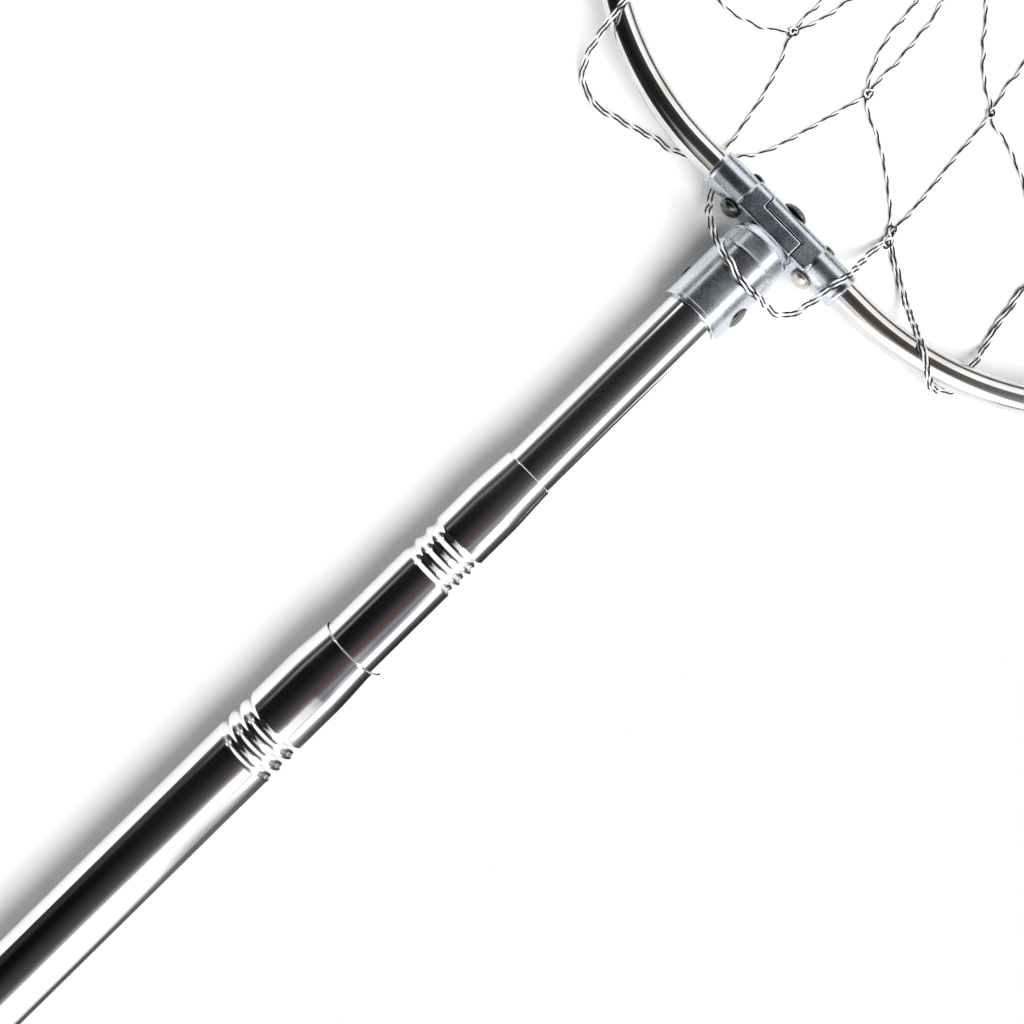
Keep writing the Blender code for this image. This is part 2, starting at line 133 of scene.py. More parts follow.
def polished(name, colour, dark, r0, r1, along=(14, 900, 900), depth=1.2e-6, flow=False):
    """Drawn and polished metal: fine lines along the tube, faint clouding and a few
    hairline scratches. A bent tube carries its own lengthwise coordinates as "flow"."""
    m, nt, b = new_material(name)
    b.inputs["Metallic"].default_value = 1.0

    def coords(scale):
        if not flow:
            return stretched(nt, scale)
        at = node(nt, "ShaderNodeAttribute", attribute_name="flow")
        mp = node(nt, "ShaderNodeMapping")
        mp.inputs["Scale"].default_value = scale
        nt.links.new(at.outputs["Vector"], mp.inputs["Vector"])
        return mp.outputs["Vector"]

    lines = noise(nt, coords(along), 1.0, 4.0, 0.6)
    cloud = noise(nt, stretched(nt, (60, 60, 60)), 1.0, 3.0, 0.55)
    scr = noise(nt, coords((along[0] * 0.6, along[1] * 2.4, along[2] * 2.4)), 1.0, 1.0, 0.4)
    mix = node(nt, "ShaderNodeMix", data_type="FLOAT")
    mix.inputs[0].default_value = 0.45
    nt.links.new(lines, mix.inputs[2])
    nt.links.new(cloud, mix.inputs[3])
    nt.links.new(ramp(nt, mix.outputs[0], [(0.3, dark), (0.62, colour)]), b.inputs["Base Color"])
    nt.links.new(ramp(nt, mix.outputs[0], [(0.3, r0), (0.7, r1)]), b.inputs["Roughness"])
    sharp = ramp(nt, scr, [(0.0, 1.0), (0.27, 1.0), (0.3, 0.0), (1.0, 0.0)])
    n1 = bump(nt, lines, depth, 1.0)
    n2 = bump(nt, sharp, depth * 1.5, 0.6, n1)
    nt.links.new(n2, b.inputs["Normal"])
    return m


def cast(name, colour, dark, r0, r1, grain=3.5e-5, scale=900):
    """Tumbled die cast alloy: a pebbled skin, small pits, and worn, brighter places."""
    m, nt, b = new_material(name)
    b.inputs["Metallic"].default_value = 1.0
    v = stretched(nt, (1, 1, 1))
    fine = noise(nt, v, scale * 2.2, 4.0, 0.6)
    broad = noise(nt, v, scale * 0.16, 3.0, 0.5)
    vo = node(nt, "ShaderNodeTexVoronoi", Scale=scale * 0.9)
    nt.links.new(v, vo.inputs["Vector"])
    pits = ramp(nt, vo.outputs["Distance"], [(0.0, 0.0), (0.16, 1.0)])
    worn = node(nt, "ShaderNodeMix", data_type="FLOAT")
    worn.inputs[0].default_value = 0.45
    nt.links.new(broad, worn.inputs[2])
    nt.links.new(fine, worn.inputs[3])
    nt.links.new(ramp(nt, worn.outputs[0], [(0.34, dark), (0.62, colour)]), b.inputs["Base Color"])
    nt.links.new(ramp(nt, worn.outputs[0], [(0.34, r0), (0.66, r1)]), b.inputs["Roughness"])
    n1 = bump(nt, broad, grain * 0.8, 0.5)
    n2 = bump(nt, fine, grain * 0.14, 0.7, n1)
    n3 = bump(nt, pits, grain * 0.12, 0.6, n2)
    nt.links.new(n3, b.inputs["Normal"])
    return m


def moulded(name, colour, dark, r0, r1, scale=2500):
    m, nt, b = new_material(name)
    v = stretched(nt, (1, 1, 1))
    fine = noise(nt, v, scale, 3.0, 0.6)
    broad = noise(nt, v, scale * 0.1, 2.0, 0.5)
    nt.links.new(ramp(nt, broad, [(0.35, dark), (0.65, colour)]), b.inputs["Base Color"])
    nt.links.new(ramp(nt, fine, [(0.3, r0), (0.7, r1)]), b.inputs["Roughness"])
    nt.links.new(bump(nt, fine, 1.5e-5, 0.7), b.inputs["Normal"])
    return m


def twine(name, colour, dark, rough, sheen):
    """One ply of spun yarn: fibres wound round it, fuzz and slight soiling."""
    m, nt, b = new_material(name)
    b.inputs["Sheen Weight"].default_value = sheen
    b.inputs["Sheen Roughness"].default_value = 0.5
    b.inputs["Specular IOR Level"].default_value = 0.3
    uv = node(nt, "ShaderNodeUVMap")
    mp = node(nt, "ShaderNodeMapping")
    mp.inputs["Rotation"].default_value = (0, 0, math.radians(28))
    mp.inputs["Scale"].default_value = (1.2, 9.0, 1.0)
    nt.links.new(uv.outputs["UV"], mp.inputs["Vector"])
    fibre = noise(nt, mp.outputs["Vector"], 1.6, 3.0, 0.6)
    fuzz = noise(nt, stretched(nt, (1, 1, 1)), 2600, 3.0, 0.6)
    mix = node(nt, "ShaderNodeMix", data_type="FLOAT")
    mix.inputs[0].default_value = 0.4
    nt.links.new(fibre, mix.inputs[2])
    nt.links.new(fuzz, mix.inputs[3])
    nt.links.new(ramp(nt, mix.outputs[0], [(0.33, dark), (0.6, colour)]), b.inputs["Base Color"])
    nt.links.new(ramp(nt, fuzz, [(0.3, rough - 0.1), (0.7, rough + 0.1)]), b.inputs["Roughness"])
    n1 = bump(nt, fibre, 6e-5, 0.9)
    nt.links.new(bump(nt, fuzz, 2.5e-5, 0.6, n1), b.inputs["Normal"])
    return m


TUBE_MAT = polished("drawn_steel", (0.81, 0.80, 0.795), (0.73, 0.72, 0.715), 0.035, 0.085)
HOOP_MAT = polished("drawn_hoop", (0.82, 0.81, 0.79), (0.47, 0.44, 0.42), 0.09, 0.17, along=(9, 1500, 1500), depth=2.4e-6, flow=True)
CAST_MAT = cast("cast_alloy", (0.64, 0.67, 0.73), (0.36, 0.39, 0.45), 0.17, 0.32, grain=5.4e-5)
HUB_MAT = cast("cast_hub", (0.70, 0.73, 0.78), (0.52, 0.55, 0.60), 0.20, 0.34, grain=4.2e-5)
RIVET_MAT = cast("rivet_plate", (0.46, 0.45, 0.44), (0.27, 0.26, 0.26), 0.18, 0.34, grain=1.6e-5, scale=1500)
# dark rivet finish; on the left arm's rivet this darkness is painted shade
DARK_RIVET = cast("rivet_dark", (0.20, 0.20, 0.20), (0.10, 0.10, 0.10), 0.22, 0.38, grain=1.6e-5, scale=1500)
# pale rivet finish, painted light: the right arm's rivet is made lighter than its like twin on the left
LIT_RIVET_MAT = cast("rivet_painted_light", (0.72, 0.66, 0.60), (0.50, 0.43, 0.38), 0.24, 0.42, grain=1.6e-5, scale=1500)
BLACK_MAT = moulded("black_moulding", (0.028, 0.028, 0.030), (0.016, 0.016, 0.018), 0.38, 0.6)
WHITE_MAT = moulded("white_moulding", (0.74, 0.74, 0.71), (0.62, 0.62, 0.58), 0.35, 0.55)
PLY_WHITE = twine("ply_white", (0.93, 0.93, 0.92), (0.80, 0.80, 0.79), 0.72, 0.30)
PLY_BLACK = twine("ply_black", (0.012, 0.012, 0.013), (0.005, 0.005, 0.006), 0.70, 0.02)


# ---------------------------------------------------------------- mesh helpers
def add(name, bm, mats, body, replaced, sharp=35.0, recalc=True):
    if recalc:
        bmesh.ops.recalc_face_normals(bm, faces=bm.faces)
    me = bpy.data.meshes.new(name)
    bm.to_mesh(me)
    bm.free()
    me.shade_smooth()
    if sharp:
        me.set_sharp_from_angle(angle=math.radians(sharp))
    ob = bpy.data.objects.new(name, me)
    scene.collection.objects.link(ob)
    for m in mats:
        me.materials.append(m)
    if body:
        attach(ob, body)
    if replaced:
        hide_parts(*replaced)
    return ob


def put(c, axis, a, u, v):
    if axis == "X":
        return (c[0] + a, c[1] + u, c[2] + v)
    if axis == "Y":
        return (c[0] + v, c[1] + a, c[2] + u)
    return (c[0] + u, c[1] + v, c[2] + a)


def revolve(profile, centre=(0, 0, 0), axis="X", seg=128):
    bm = bmesh.new()
    rings = []
    for a, r in profile:
        if r <= 1e-9:
            rings.append([bm.verts.new(put(centre, axis, a, 0, 0))])
            continue
        rings.append(
            [
                bm.verts.new(put(centre, axis, a, r * math.cos(2 * math.pi * k / seg), r * math.sin(2 * math.pi * k / seg)))
                for k in range(seg)
            ]
        )
    n = len(rings)
    for i in range(n):
        a, b = rings[i], rings[(i + 1) % n]
        if len(a) == 1 and len(b) == 1:
            continue
        for k in range(seg):
            j = (k + 1) % seg
            if len(a) == 1:
                bm.faces.new((a[0], b[k], b[j]))
            elif len(b) == 1:
                bm.faces.new((a[k], b[0], a[j]))
            else:
                bm.faces.new((a[k], b[k], b[j], a[j]))
    return bm


def evaluate(bm, setup):
    """The mesh of bm after the modifiers that setup(ob) adds, as a new bmesh."""
    bmesh.ops.recalc_face_normals(bm, faces=bm.faces)
    me = bpy.data.meshes.new("tmp")
    bm.to_mesh(me)
    bm.free()
    ob = bpy.data.objects.new("tmp", me)
    scene.collection.objects.link(ob)
    extra = setup(ob) or []
    bpy.context.view_layer.update()
    ev = ob.evaluated_get(bpy.context.evaluated_depsgraph_get())
    out = bmesh.new()
    out.from_mesh(ev.to_mesh())
    ev.to_mesh_clear()
    for o in [ob] + extra:
        d = o.data
        bpy.data.objects.remove(o, do_unlink=True)
        bpy.data.meshes.remove(d)
    return out


def boolean(a, b, op):
    def setup(ob):
        bmesh.ops.recalc_face_normals(b, faces=b.faces)
        me = bpy.data.meshes.new("tmp2")
        b.to_mesh(me)
        b.free()
        o2 = bpy.data.objects.new("tmp2", me)
        scene.collection.objects.link(o2)
        mod = ob.modifiers.new("b", "BOOLEAN")
        mod.object, mod.operation, mod.solver = o2, op, "EXACT"
        return [o2]

    out = evaluate(a, setup)
    bmesh.ops.remove_doubles(out, verts=out.verts, dist=1e-6)
    return out


def fillet(points, radius, n=4):
    """Round the marked corners of a profile: points are (a, r) or (a, r, radius)."""
    out = []
    m = len(points)
    for i, p in enumerate(points):
        rad = p[2] if len(p) > 2 else radius
        q, s = Vector(points[i - 1][:2]), Vector(points[(i + 1) % m][:2])
        c = Vector(p[:2])
        u, v = q - c, s - c
        if rad <= 0 or u.length < 1e-7 or v.length < 1e-7 or p[1] <= 1e-9:
            out.append((c.x, c.y))
            continue
        d = min(rad, 0.45 * u.length, 0.45 * v.length)
        a, b = c + u.normalized() * d, c + v.normalized() * d
        for k in range(n + 1):
            t = k / n
            w = a * (1 - t) ** 2 + c * 2 * t * (1 - t) + b * t * t
            out.append((w.x, w.y))
    return out


# ---------------------------------------------------------------- handle
def rib_wave(x, middle, r):
    out = 0.0
    for k in (-1, 0, 1):
        d = abs(x - (middle + k * PITCH)) / (PITCH * 0.5)
        if d < 1:
            out = max(out, 0.5 * (1 + math.cos(math.pi * d)))
    return r - GROOVE * out


def ribbed(x0, x1, r, middle, x_taper, r_end):
    outer = [(x0, r - 0.12 * MM), (x0 + 0.12 * MM, r)]
    lo, hi = middle - 1.5 * PITCH, middle + 1.5 * PITCH
    span = lo - x0
    outer += [(x0 + 0.12 * MM + (span - 0.12 * MM) * i / 24, r) for i in range(1, 25)]
    n = 84
    outer += [(lo + (hi - lo) * i / n, rib_wave(lo + (hi - lo) * i / n, middle, r)) for i in range(1, n + 1)]
    outer += [(hi + (x_taper - hi) * i / 4, r) for i in range(1, 5)]
    steps = 26
    for i in range(1, steps + 1):
        t = i / steps
        s = t * t * (3 - 2 * t) * 0.55 + t * 0.45
        x, q = x_taper + (x1 - x_taper) * t, r + (r_end - r) * s
        if i == steps:
            outer.append((x - 0.1 * MM, q))
            outer.append((x - 0.02 * MM, q - 0.06 * MM))
            outer.append((x, q - 0.14 * MM))
        else:
            outer.append((x, q))
    inner = []
    for x, q in outer[1:-3:2]:
        inner.append((x, q - WALL))
    inner.append((x1 - 0.1 * MM, r_end - WALL + 0.05 * MM))
    inner.append((x1, r_end - WALL + 0.12 * MM))
    return outer + inner[::-1]


add("outer_tube_finish", revolve(ribbed(3.3 * MM, X_END1, R1, X_GROOVE1, X_TAPER1, R_END1), seg=144), [TUBE_MAT], "handle", ["outer_tube"], 50)
add("middle_tube_finish", revolve(ribbed(X_MID_REAR, X_END2, R2, X_GROOVE2, X_TAPER2, R_END2), seg=144), [TUBE_MAT], "middle", ["middle_tube"], 50)

inner_profile = [(X_IN_REAR, R3 - WALL), (X_IN_REAR, R3 - 0.1 * MM), (X_IN_REAR + 0.1 * MM, R3)]
inner_profile += [(X_IN_REAR + (X_END3 - X_IN_REAR) * i / 60, R3) for i in range(1, 60)]
inner_profile += [(X_END3 - 0.1 * MM, R3), (X_END3, R3 - 0.1 * MM), (X_END3, R3 - WALL)]
add("inner_tube_finish", revolve(inner_profile, seg=144), [TUBE_MAT], "inner", ["inner_tube"], 50)

cap = fillet(
    [
        (0, 0),
        (0, R1 - 0.05 * MM, 0.9 * MM),
        (3.0 * MM, R1, 0.15 * MM),
        (3.0 * MM, R1 - WALL - 0.1 * MM, 0),
        (14 * MM, R1 - WALL - 0.1 * MM, 0.2 * MM),
        (15 * MM, R1 - WALL - 0.6 * MM, 0.2 * MM),
        (15 * MM, 7.5 * MM, 0.2 * MM),
        (5 * MM, 7.5 * MM, 0.6 * MM),
        (5 * MM, 0),
    ],
    0.2 * MM,
    5,
)
# a shallow moulded ring and a sprue dimple on the rear face
cap = [(0, 0), (0.28 * MM, 0.0)][:1] + [
    (0.35 * MM, 0.0),
    (0.33 * MM, 1.2 * MM),
    (0.06 * MM, 1.6 * MM),
    (0.0, 1.9 * MM),
    (0.0, 7.4 * MM),
    (0.1 * MM, 7.6 * MM),
    (0.32 * MM, 7.8 * MM),
    (0.32 * MM, 8.4 * MM),
    (0.1 * MM, 8.6 * MM),
] + [p for p in cap if p != (0, 0) and p != (0.0, 0.0)]
cap = cap[1:]
add("butt_cap_finish", revolve(cap, seg=96), [BLACK_MAT], "handle", ["butt_cap"], 40)

# ---------------------------------------------------------------- hub and rivets
hub = fillet(
    [
        (HUB_BACK, HUB_BORE, 0),
        (HUB_BACK, HUB_R - 0.1 * MM, 0.12 * MM),
        (HUB_BACK + 0.25 * MM, HUB_R + 0.06 * MM, 0.15 * MM),
        (HUB_BACK + 1.25 * MM, HUB_R + 0.06 * MM, 0.15 * MM),
        (HUB_BACK + 1.6 * MM, HUB_R, 0.1 * MM),
        (XC - 14.05 * MM, HUB_R, 0.1 * MM),
        (XC - 13.75 * MM, HUB_R + 0.1 * MM, 0.1 * MM),
        (XC - 13.35 * MM, HUB_R + 0.1 * MM, 0.1 * MM),
        (XC - 13.1 * MM, HUB_R - 0.12 * MM, 0.1 * MM),
        (XC - 8.75 * MM, HUB_R - 0.16 * MM, 0.1 * MM),
        (XC - 8.5 * MM, HUB_R - 0.04 * MM, 0.1 * MM),
        (XC - 8.15 * MM, HUB_R - 0.06 * MM, 0.1 * MM),
        (XC - 7.9 * MM, HUB_R - 0.4 * MM, 0.1 * MM),
        (XC - 6.5 * MM, HUB_R - 0.85 * MM, 0.6 * MM),
        (XC - 5.6 * MM, HUB_R - 1.7 * MM, 0.6 * MM),
        (HUB_FRONT, HUB_R - 2.6 * MM, 0.4 * MM),
        (HUB_FRONT, PIVOT_R + 0.12 * MM, 0),
        (HUB_FLOOR, PIVOT_R + 0.12 * MM, 0),
        (HUB_FLOOR, HUB_BORE - 0.5 * MM, 0),
        (HUB_FLOOR - 0.25 * MM, HUB_BORE, 0),
    ],
    0.1 * MM,
    3,
)
hub = revolve(hub, seg=160)


def cross(r, lo, hi, seg=48):
    """A cylinder across the handle's axis at the hub's rivet, on the head's side."""
    bm = revolve([(-hi, 0), (-hi, r), (-lo, r), (-lo, 0)], (0, 0, 0), "Y", seg)
    bmesh.ops.rotate(bm, verts=bm.verts, cent=(0, 0, 0), matrix=Matrix.Rotation(-RIVET_TILT, 3, "X"))
    bmesh.ops.translate(bm, verts=bm.verts, vec=(RIVET_X, 0, 0))
    return bm


hub = boolean(hub, cross(3.3 * MM, HUB_R - 0.55 * MM, HUB_R + 4 * MM), "DIFFERENCE")
add("hub_finish", hub, [HUB_MAT], "inner", ["hub"], 30)


def dome(face, toward, r, h, lip=0.25 * MM, n=14, flat=0.0):
    """Profile of a rivet head from its pole to its rim: axial positions beyond face."""
    out = []
    for i in range(n + 1):
        t = math.pi / 2 * i / n
        out.append((face + toward * (lip + (h - lip) * math.cos(t) ** 0.9), r * math.sin(t)))
    out[0] = (out[0][0], 0.0)
    out.append((face + toward * 0.06 * MM, r))
    out.append((face, r - 0.08 * MM))
    return out


def rivet(x_head, x_tail, r, head_r, head_h, tail_r, tail_h, toward):
    head = dome(x_head, toward, head_r, head_h)
    tail = dome(x_tail, -toward, tail_r, tail_h, 0.15 * MM, 10)
    # the tail was peened into a low dome
    return head + [(x_head, r), (x_tail, r)] + tail[::-1]


for nm, xc, side, toward, mat, body in (
    # the left arm's rivet takes the dark finish as painted shade
    ("left_arm_rivet", XC, 1, -1, DARK_RIVET, "hoop_left"),
    # the right arm's rivet takes the pale finish as painted light
    ("right_arm_rivet", XC, -1, -1, LIT_RIVET_MAT, "hoop_right"),
    ("left_tip_rivet", XT, 1, 1, RIVET_MAT, "hoop_left"),
    ("right_tip_rivet", XT, -1, 1, RIVET_MAT, "hoop_right"),
):
    seat = FERRULE_R + 0.06 * MM
    prof = rivet(toward * seat, -toward * seat, 1.45 * MM, 3.1 * MM, 2.2 * MM, 2.1 * MM, 0.9 * MM, toward)
    add(nm + "_finish", revolve(prof, (xc, side * ARM_RIVET_Y, 0), "X", 48), [mat], body, [nm], 60)

prof = rivet(ARM_HALF + 0.12 * MM, HUB_FLOOR - XC - 0.95 * MM, PIVOT_R, 4.0 * MM, 2.1 * MM, 3.0 * MM, 1.0 * MM, 1)
add("pivot_rivet_finish", revolve(prof, (XC, 0, 0), "X", 56), [DARK_RIVET], "inner", ["pivot_rivet"], 60)
prof = rivet(ARM_HALF + 0.12 * MM, -ARM_HALF - 0.12 * MM, PIVOT_R, 4.0 * MM, 2.1 * MM, 3.2 * MM, 1.2 * MM, 1)
add("tip_rivet_finish", revolve(prof, (XT, 0, 0), "X", 56), [RIVET_MAT], "hoop_left", ["tip_rivet"], 60)

h0, h1 = HUB_R - 0.5 * MM, HUB_R + 0.75 * MM
prof = dome(-h0, -1, 3.05 * MM, h1 - h0, 0.2 * MM) + [(-h0, 1.45 * MM), (HUB_R + 0.05 * MM, 1.45 * MM)]
prof += dome(HUB_R + 0.05 * MM, 1, 2.3 * MM, 0.6 * MM, 0.1 * MM, 8)[::-1]
bm = revolve(prof, (0, 0, 0), "Y", 56)
bmesh.ops.rotate(bm, verts=bm.verts, cent=(0, 0, 0), matrix=Matrix.Rotation(-RIVET_TILT, 3, "X"))
bmesh.ops.translate(bm, verts=bm.verts, vec=(RIVET_X, 0, 0))
add("hub_rivet_finish", bm, [DARK_RIVET], "inner", ["hub_rivet"], 60)

for nm, mat in (("middle_guide_bush", WHITE_MAT), ("inner_guide_bush", WHITE_MAT), ("pivot_washer", RIVET_MAT)):
    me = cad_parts[nm].data
    me.materials.clear()
    me.materials.append(mat)


# ---------------------------------------------------------------- cast arms
def prism(outline, x0, x1):
    bm = bmesh.new()
    a = [bm.verts.new((x0, y, z)) for y, z in outline]
    b = [bm.verts.new((x1, y, z)) for y, z in outline]
    bm.faces.new(a)
    bm.faces.new(b[::-1])
    n = len(a)
    for i in range(n):
        j = (i + 1) % n
        bm.faces.new((a[i], b[i], b[j], a[j]))
    return bm


def arc(r, a0, a1, n):
    return [(r * math.cos(a0 + (a1 - a0) * i / n), r * math.sin(a0 + (a1 - a0) * i / n)) for i in range(n + 1)]


def arm(side, lug_half, xc):
    h, w, near = ARM_H, ARM_HALF, 0.15 * MM
    block = side * ARM_BLOCK
    a = math.asin(h / LUG_R)
    disc = arc(LUG_R, math.pi - a, math.pi + a, 40)
    lug = [(y * side, z) for y, z in disc] + [(block, -h), (block, h)]
    x0, x1 = (-w, -near) if lug_half < 0 else (near, w)
    bm = prism(lug, x0, x1)
    b = math.asin(h / SHOULDER_R)
    sh = [(y * side, z) for y, z in arc(SHOULDER_R, b, -b, 32)] + [(block, -h), (block, h)]
    x2, x3 = (-near, w) if lug_half < 0 else (-w, near)
    bm = boolean(bm, prism(sh, x2, x3), "UNION")
    # the casting's long edges: a small round on the inner side, a full one on the outer
    corners = []
    for cx, cz, rad, a0 in ((w, h, 3.0 * MM, 0), (-w, h, 0.75 * MM, 90), (-w, -h, 0.75 * MM, 180), (w, -h, 3.0 * MM, 270)):
        ox, oz = (cx - math.copysign(rad, cx)), (cz - math.copysign(rad, cz))
        corners += [(ox + rad * math.cos(math.radians(a0 + 90 * i / 10)), oz + rad * math.sin(math.radians(a0 + 90 * i / 10))) for i in range(11)]
    tool = bmesh.new()
    ra = [tool.verts.new((x, -16 * MM, z)) for x, z in corners]
    rb = [tool.verts.new((x, 16 * MM, z)) for x, z in corners]
    tool.faces.new(ra)
    tool.faces.new(rb[::-1])
    for i in range(len(ra)):
        tool.faces.new((ra[i], rb[i], rb[(i + 1) % len(ra)], ra[(i + 1) % len(ra)]))
    bm = boolean(bm, tool, "INTERSECT")
    y0 = side * (ARM_BLOCK - 1.6 * MM)
    # ferrule, with a small bead where the tube enters
    fer = revolve(
        [
            (y0, 0),
            (y0, ARM_H * 0.9),
            (side * (ARM_BLOCK + 0.6 * MM), FERRULE_R),
            (side * (ARM_END - 1.5 * MM), FERRULE_R - 0.05 * MM),
            (side * (ARM_END - 1.2 * MM), FERRULE_R + 0.05 * MM),
            (side * (ARM_END - 0.4 * MM), FERRULE_R + 0.02 * MM),
            (side * ARM_END, FERRULE_R - 0.3 * MM),
            (side * ARM_END, 0),
        ],
        (0, 0, 0),
        "Y",
        80,
    )
    bm = boolean(bm, fer, "UNION")
    bore = revolve([(side * BORE_FLOOR, 0), (side * BORE_FLOOR, FERRULE_BORE), (side * (ARM_END + 1 * MM), FERRULE_BORE), (side * (ARM_END + 1 * MM), 0)], (0, 0, 0), "Y", 64)
    bm = boolean(bm, bore, "DIFFERENCE")
    pin = revolve([(-9 * MM, 0), (-9 * MM, PIVOT_R + 0.12 * MM), (9 * MM, PIVOT_R + 0.12 * MM), (9 * MM, 0)], (0, 0, 0), "X", 40)
    bm = boolean(bm, pin, "DIFFERENCE")

    def setup(ob):
        r = ob.modifiers.new("r", "REMESH")
        r.mode, r.voxel_size, r.adaptivity = "VOXEL", 0.24 * MM, 0.0
        s = ob.modifiers.new("s", "SMOOTH")
        s.factor, s.iterations = 0.5, 3

    bm = evaluate(bm, setup)
    bmesh.ops.translate(bm, verts=bm.verts, vec=(xc, 0, 0))
    return bm


add("left_arm_finish", arm(1, -1, XC), [CAST_MAT], "hoop_left", ["left_arm"], 0)
add("right_arm_finish", arm(-1, 1, XC), [CAST_MAT], "hoop_right", ["right_arm"], 0)
add("left_tip_arm_finish", arm(1, 1, XT), [CAST_MAT], "hoop_left", ["left_tip_arm"], 0)
add("right_tip_arm_finish", arm(-1, -1, XT), [CAST_MAT], "hoop_right", ["right_tip_arm"], 0)


# ---------------------------------------------------------------- hoop tubes
HALF_LENGTH = HOOP_STRAIGHT + math.pi / 2 * HOOP_R + HOOP_SIDE + math.pi / 2 * HOOP_R + HOOP_STRAIGHT


def hoop_at(s):
    """Point and direction on the left half's centre line, s from the head's centre."""
    if s <= HOOP_STRAIGHT:
        return (XC, s, 0.0, 1.0)
    s -= HOOP_STRAIGHT
    q = math.pi / 2 * HOOP_R
    if s <= q:
        t = s / HOOP_R
        return (XC + HOOP_R * (1 - math.cos(t)), HOOP_STRAIGHT + HOOP_R * math.sin(t), math.sin(t), math.cos(t))
    s -= q
    if s <= HOOP_SIDE:
        return (XC + HOOP_R + s, HOOP_STRAIGHT + HOOP_R, 1.0, 0.0)
    s -= HOOP_SIDE
    if s <= q:
        t = s / HOOP_R
        return (XT - HOOP_R * (1 - math.sin(t)), HOOP_STRAIGHT + HOOP_R * math.cos(t), math.cos(t), -math.sin(t))
    s -= q
    return (XT, HOOP_STRAIGHT - s, 0.0, -1.0)


def hoop_tube(side):
    bm = bmesh.new()
    layer = bm.verts.layers.float_vector.new("flow")
    seg, n = 56, 260
    rings = []
    lo, hi = TUBE_START, HALF_LENGTH - TUBE_START
    uv = []
    for radius in (TUBE_R, TUBE_R - TUBE_WALL):
        group = []
        for i in range(n + 1):
            s = lo + (hi - lo) * i / n
            x, y, tx, ty = hoop_at(s)
            r = radius
            if radius == TUBE_R and i in (0, n):
                r -= 0.12 * MM
            nx, ny = ty, -tx
            group.append(
                [
                    bm.verts.new(
                        (
                            x + nx * r * math.cos(2 * math.pi * k / seg),
                            side * (y + ny * r * math.cos(2 * math.pi * k / seg)),
                            r * math.sin(2 * math.pi * k / seg),
                        )
                    )
                    for k in range(seg)
                ]
            )
        rings.append(group)
    for group, radius in zip(rings, (TUBE_R, TUBE_R - TUBE_WALL)):
        for i, ring in enumerate(group):
            s = lo + (hi - lo) * i / n
            for k, vert in enumerate(ring):
                a = 2 * math.pi * k / seg
                vert[layer] = (s, radius * math.cos(a), radius * math.sin(a))
    for group in rings:
        for a, b in zip(group, group[1:]):
            for k in range(seg):
                j = (k + 1) % seg
                bm.faces.new((a[k], a[j], b[j], b[k]))
    for i in (0, -1):
        for k in range(seg):
            j = (k + 1) % seg
            bm.faces.new((rings[0][i][k], rings[0][i][j], rings[1][i][j], rings[1][i][k]))
    return bm


add("left_hoop_tube_finish", hoop_tube(1), [HOOP_MAT], "hoop_left", ["left_hoop_tube"], 50)
add("right_hoop_tube_finish", hoop_tube(-1), [HOOP_MAT], "hoop_right", ["right_hoop_tube"], 50)

# ---------------------------------------------------------------- net of twisted twine
TWINE_R = 0.49  # mm, everything in this section is in mm from the crossbar's centre
PLY_R = (0.275, 0.225)
PLY_OFF = 0.235
TWIST = 6.6
GROUND = FLOOR / MM + TWINE_R + 0.04
rng = np.random.default_rng(11)
BAR = 42.0


def spline(points, step=0.62):
    """Points evenly spaced along a centripetal Catmull-Rom curve."""
    p = np.array(points, float)
    if len(p) == 2:
        p = np.array([p[0], (p[0] + p[1]) / 2, p[1]])
    ext = np.vstack([2 * p[0] - p[1], p, 2 * p[-1] - p[-2]])
    out = []
    for i in range(1, len(ext) - 2):
        a, b, c, d = ext[i - 1], ext[i], ext[i + 1], ext[i + 2]
        k = 10
        t = np.linspace(0, 1, k, endpoint=False)[:, None]
        out.append(0.5 * (2 * b + (c - a) * t + (2 * a - 5 * b + 4 * c - d) * t**2 + (3 * b - a - 3 * c + d) * t**3))
    out.append(p[-1][None, :])
    out = np.vstack(out)
    d = np.r_[0, np.cumsum(np.linalg.norm(np.diff(out, axis=0), axis=1))]
    n = max(3, int(round(d[-1] / step)) + 1)
    s = np.linspace(0, d[-1], n)
    q = np.stack([np.interp(s, d, out[:, k]) for k in range(3)], 1)
    return q


def relax(q, rounds=6):
    """Soften the kinks that resampling leaves."""
    q = q.copy()
    for _ in range(rounds):
        q[1:-1] += 0.5 * ((q[:-2] + q[2:]) / 2 - q[1:-1])
    return q


def hoop_xy(s):
    """Hoop centre line, in mm from the crossbar's centre; s > 0 runs along the right half."""
    side = 1 if s < 0 else -1
    x, y, tx, ty = hoop_at(abs(s) * MM)
    # unit vector pointing out of the hoop
    return (x - XC) / MM, side * y / MM, -ty, side * tx


TOTAL = 2 * HALF_LENGTH / MM


def at(s, out=0.0, z=0.0):
    s = (s + TOTAL / 2) % TOTAL - TOTAL / 2
    x, y, ox, oy = hoop_xy(s)
    return (x + ox * out, y + oy * out, z)


# knots of the rim row: arc positions round the hoop, then the rows of the bag
N = 14
RIM_S = [-91.7, -24.0, 27.0, 85.3] + [85.3 + 56.9 * k for k in range(1, 11)]
known = {
    (0, 0): (35.2, 74.8),
    (0, 1): (1.4, 23.4),
    (0, 2): (23.9, -23.0),
    (0, 3): (45.3, -61.4),
    (1, 0): (45.0, 36.6),
    (1, 1): (47.7, 9.6),
    (1, 2): (68.7, -18.1),
    (2, 0): (86.0, 23.0),
    (2, 1): (92.5, 8.0),
    (2, 2): (109.0, -13.0),
    (2, 13): (84.0, 44.0),
}
ROWS = 5
GATHER = np.array([196.0, 4.0])
WALL_X = 240.0 + 66.0


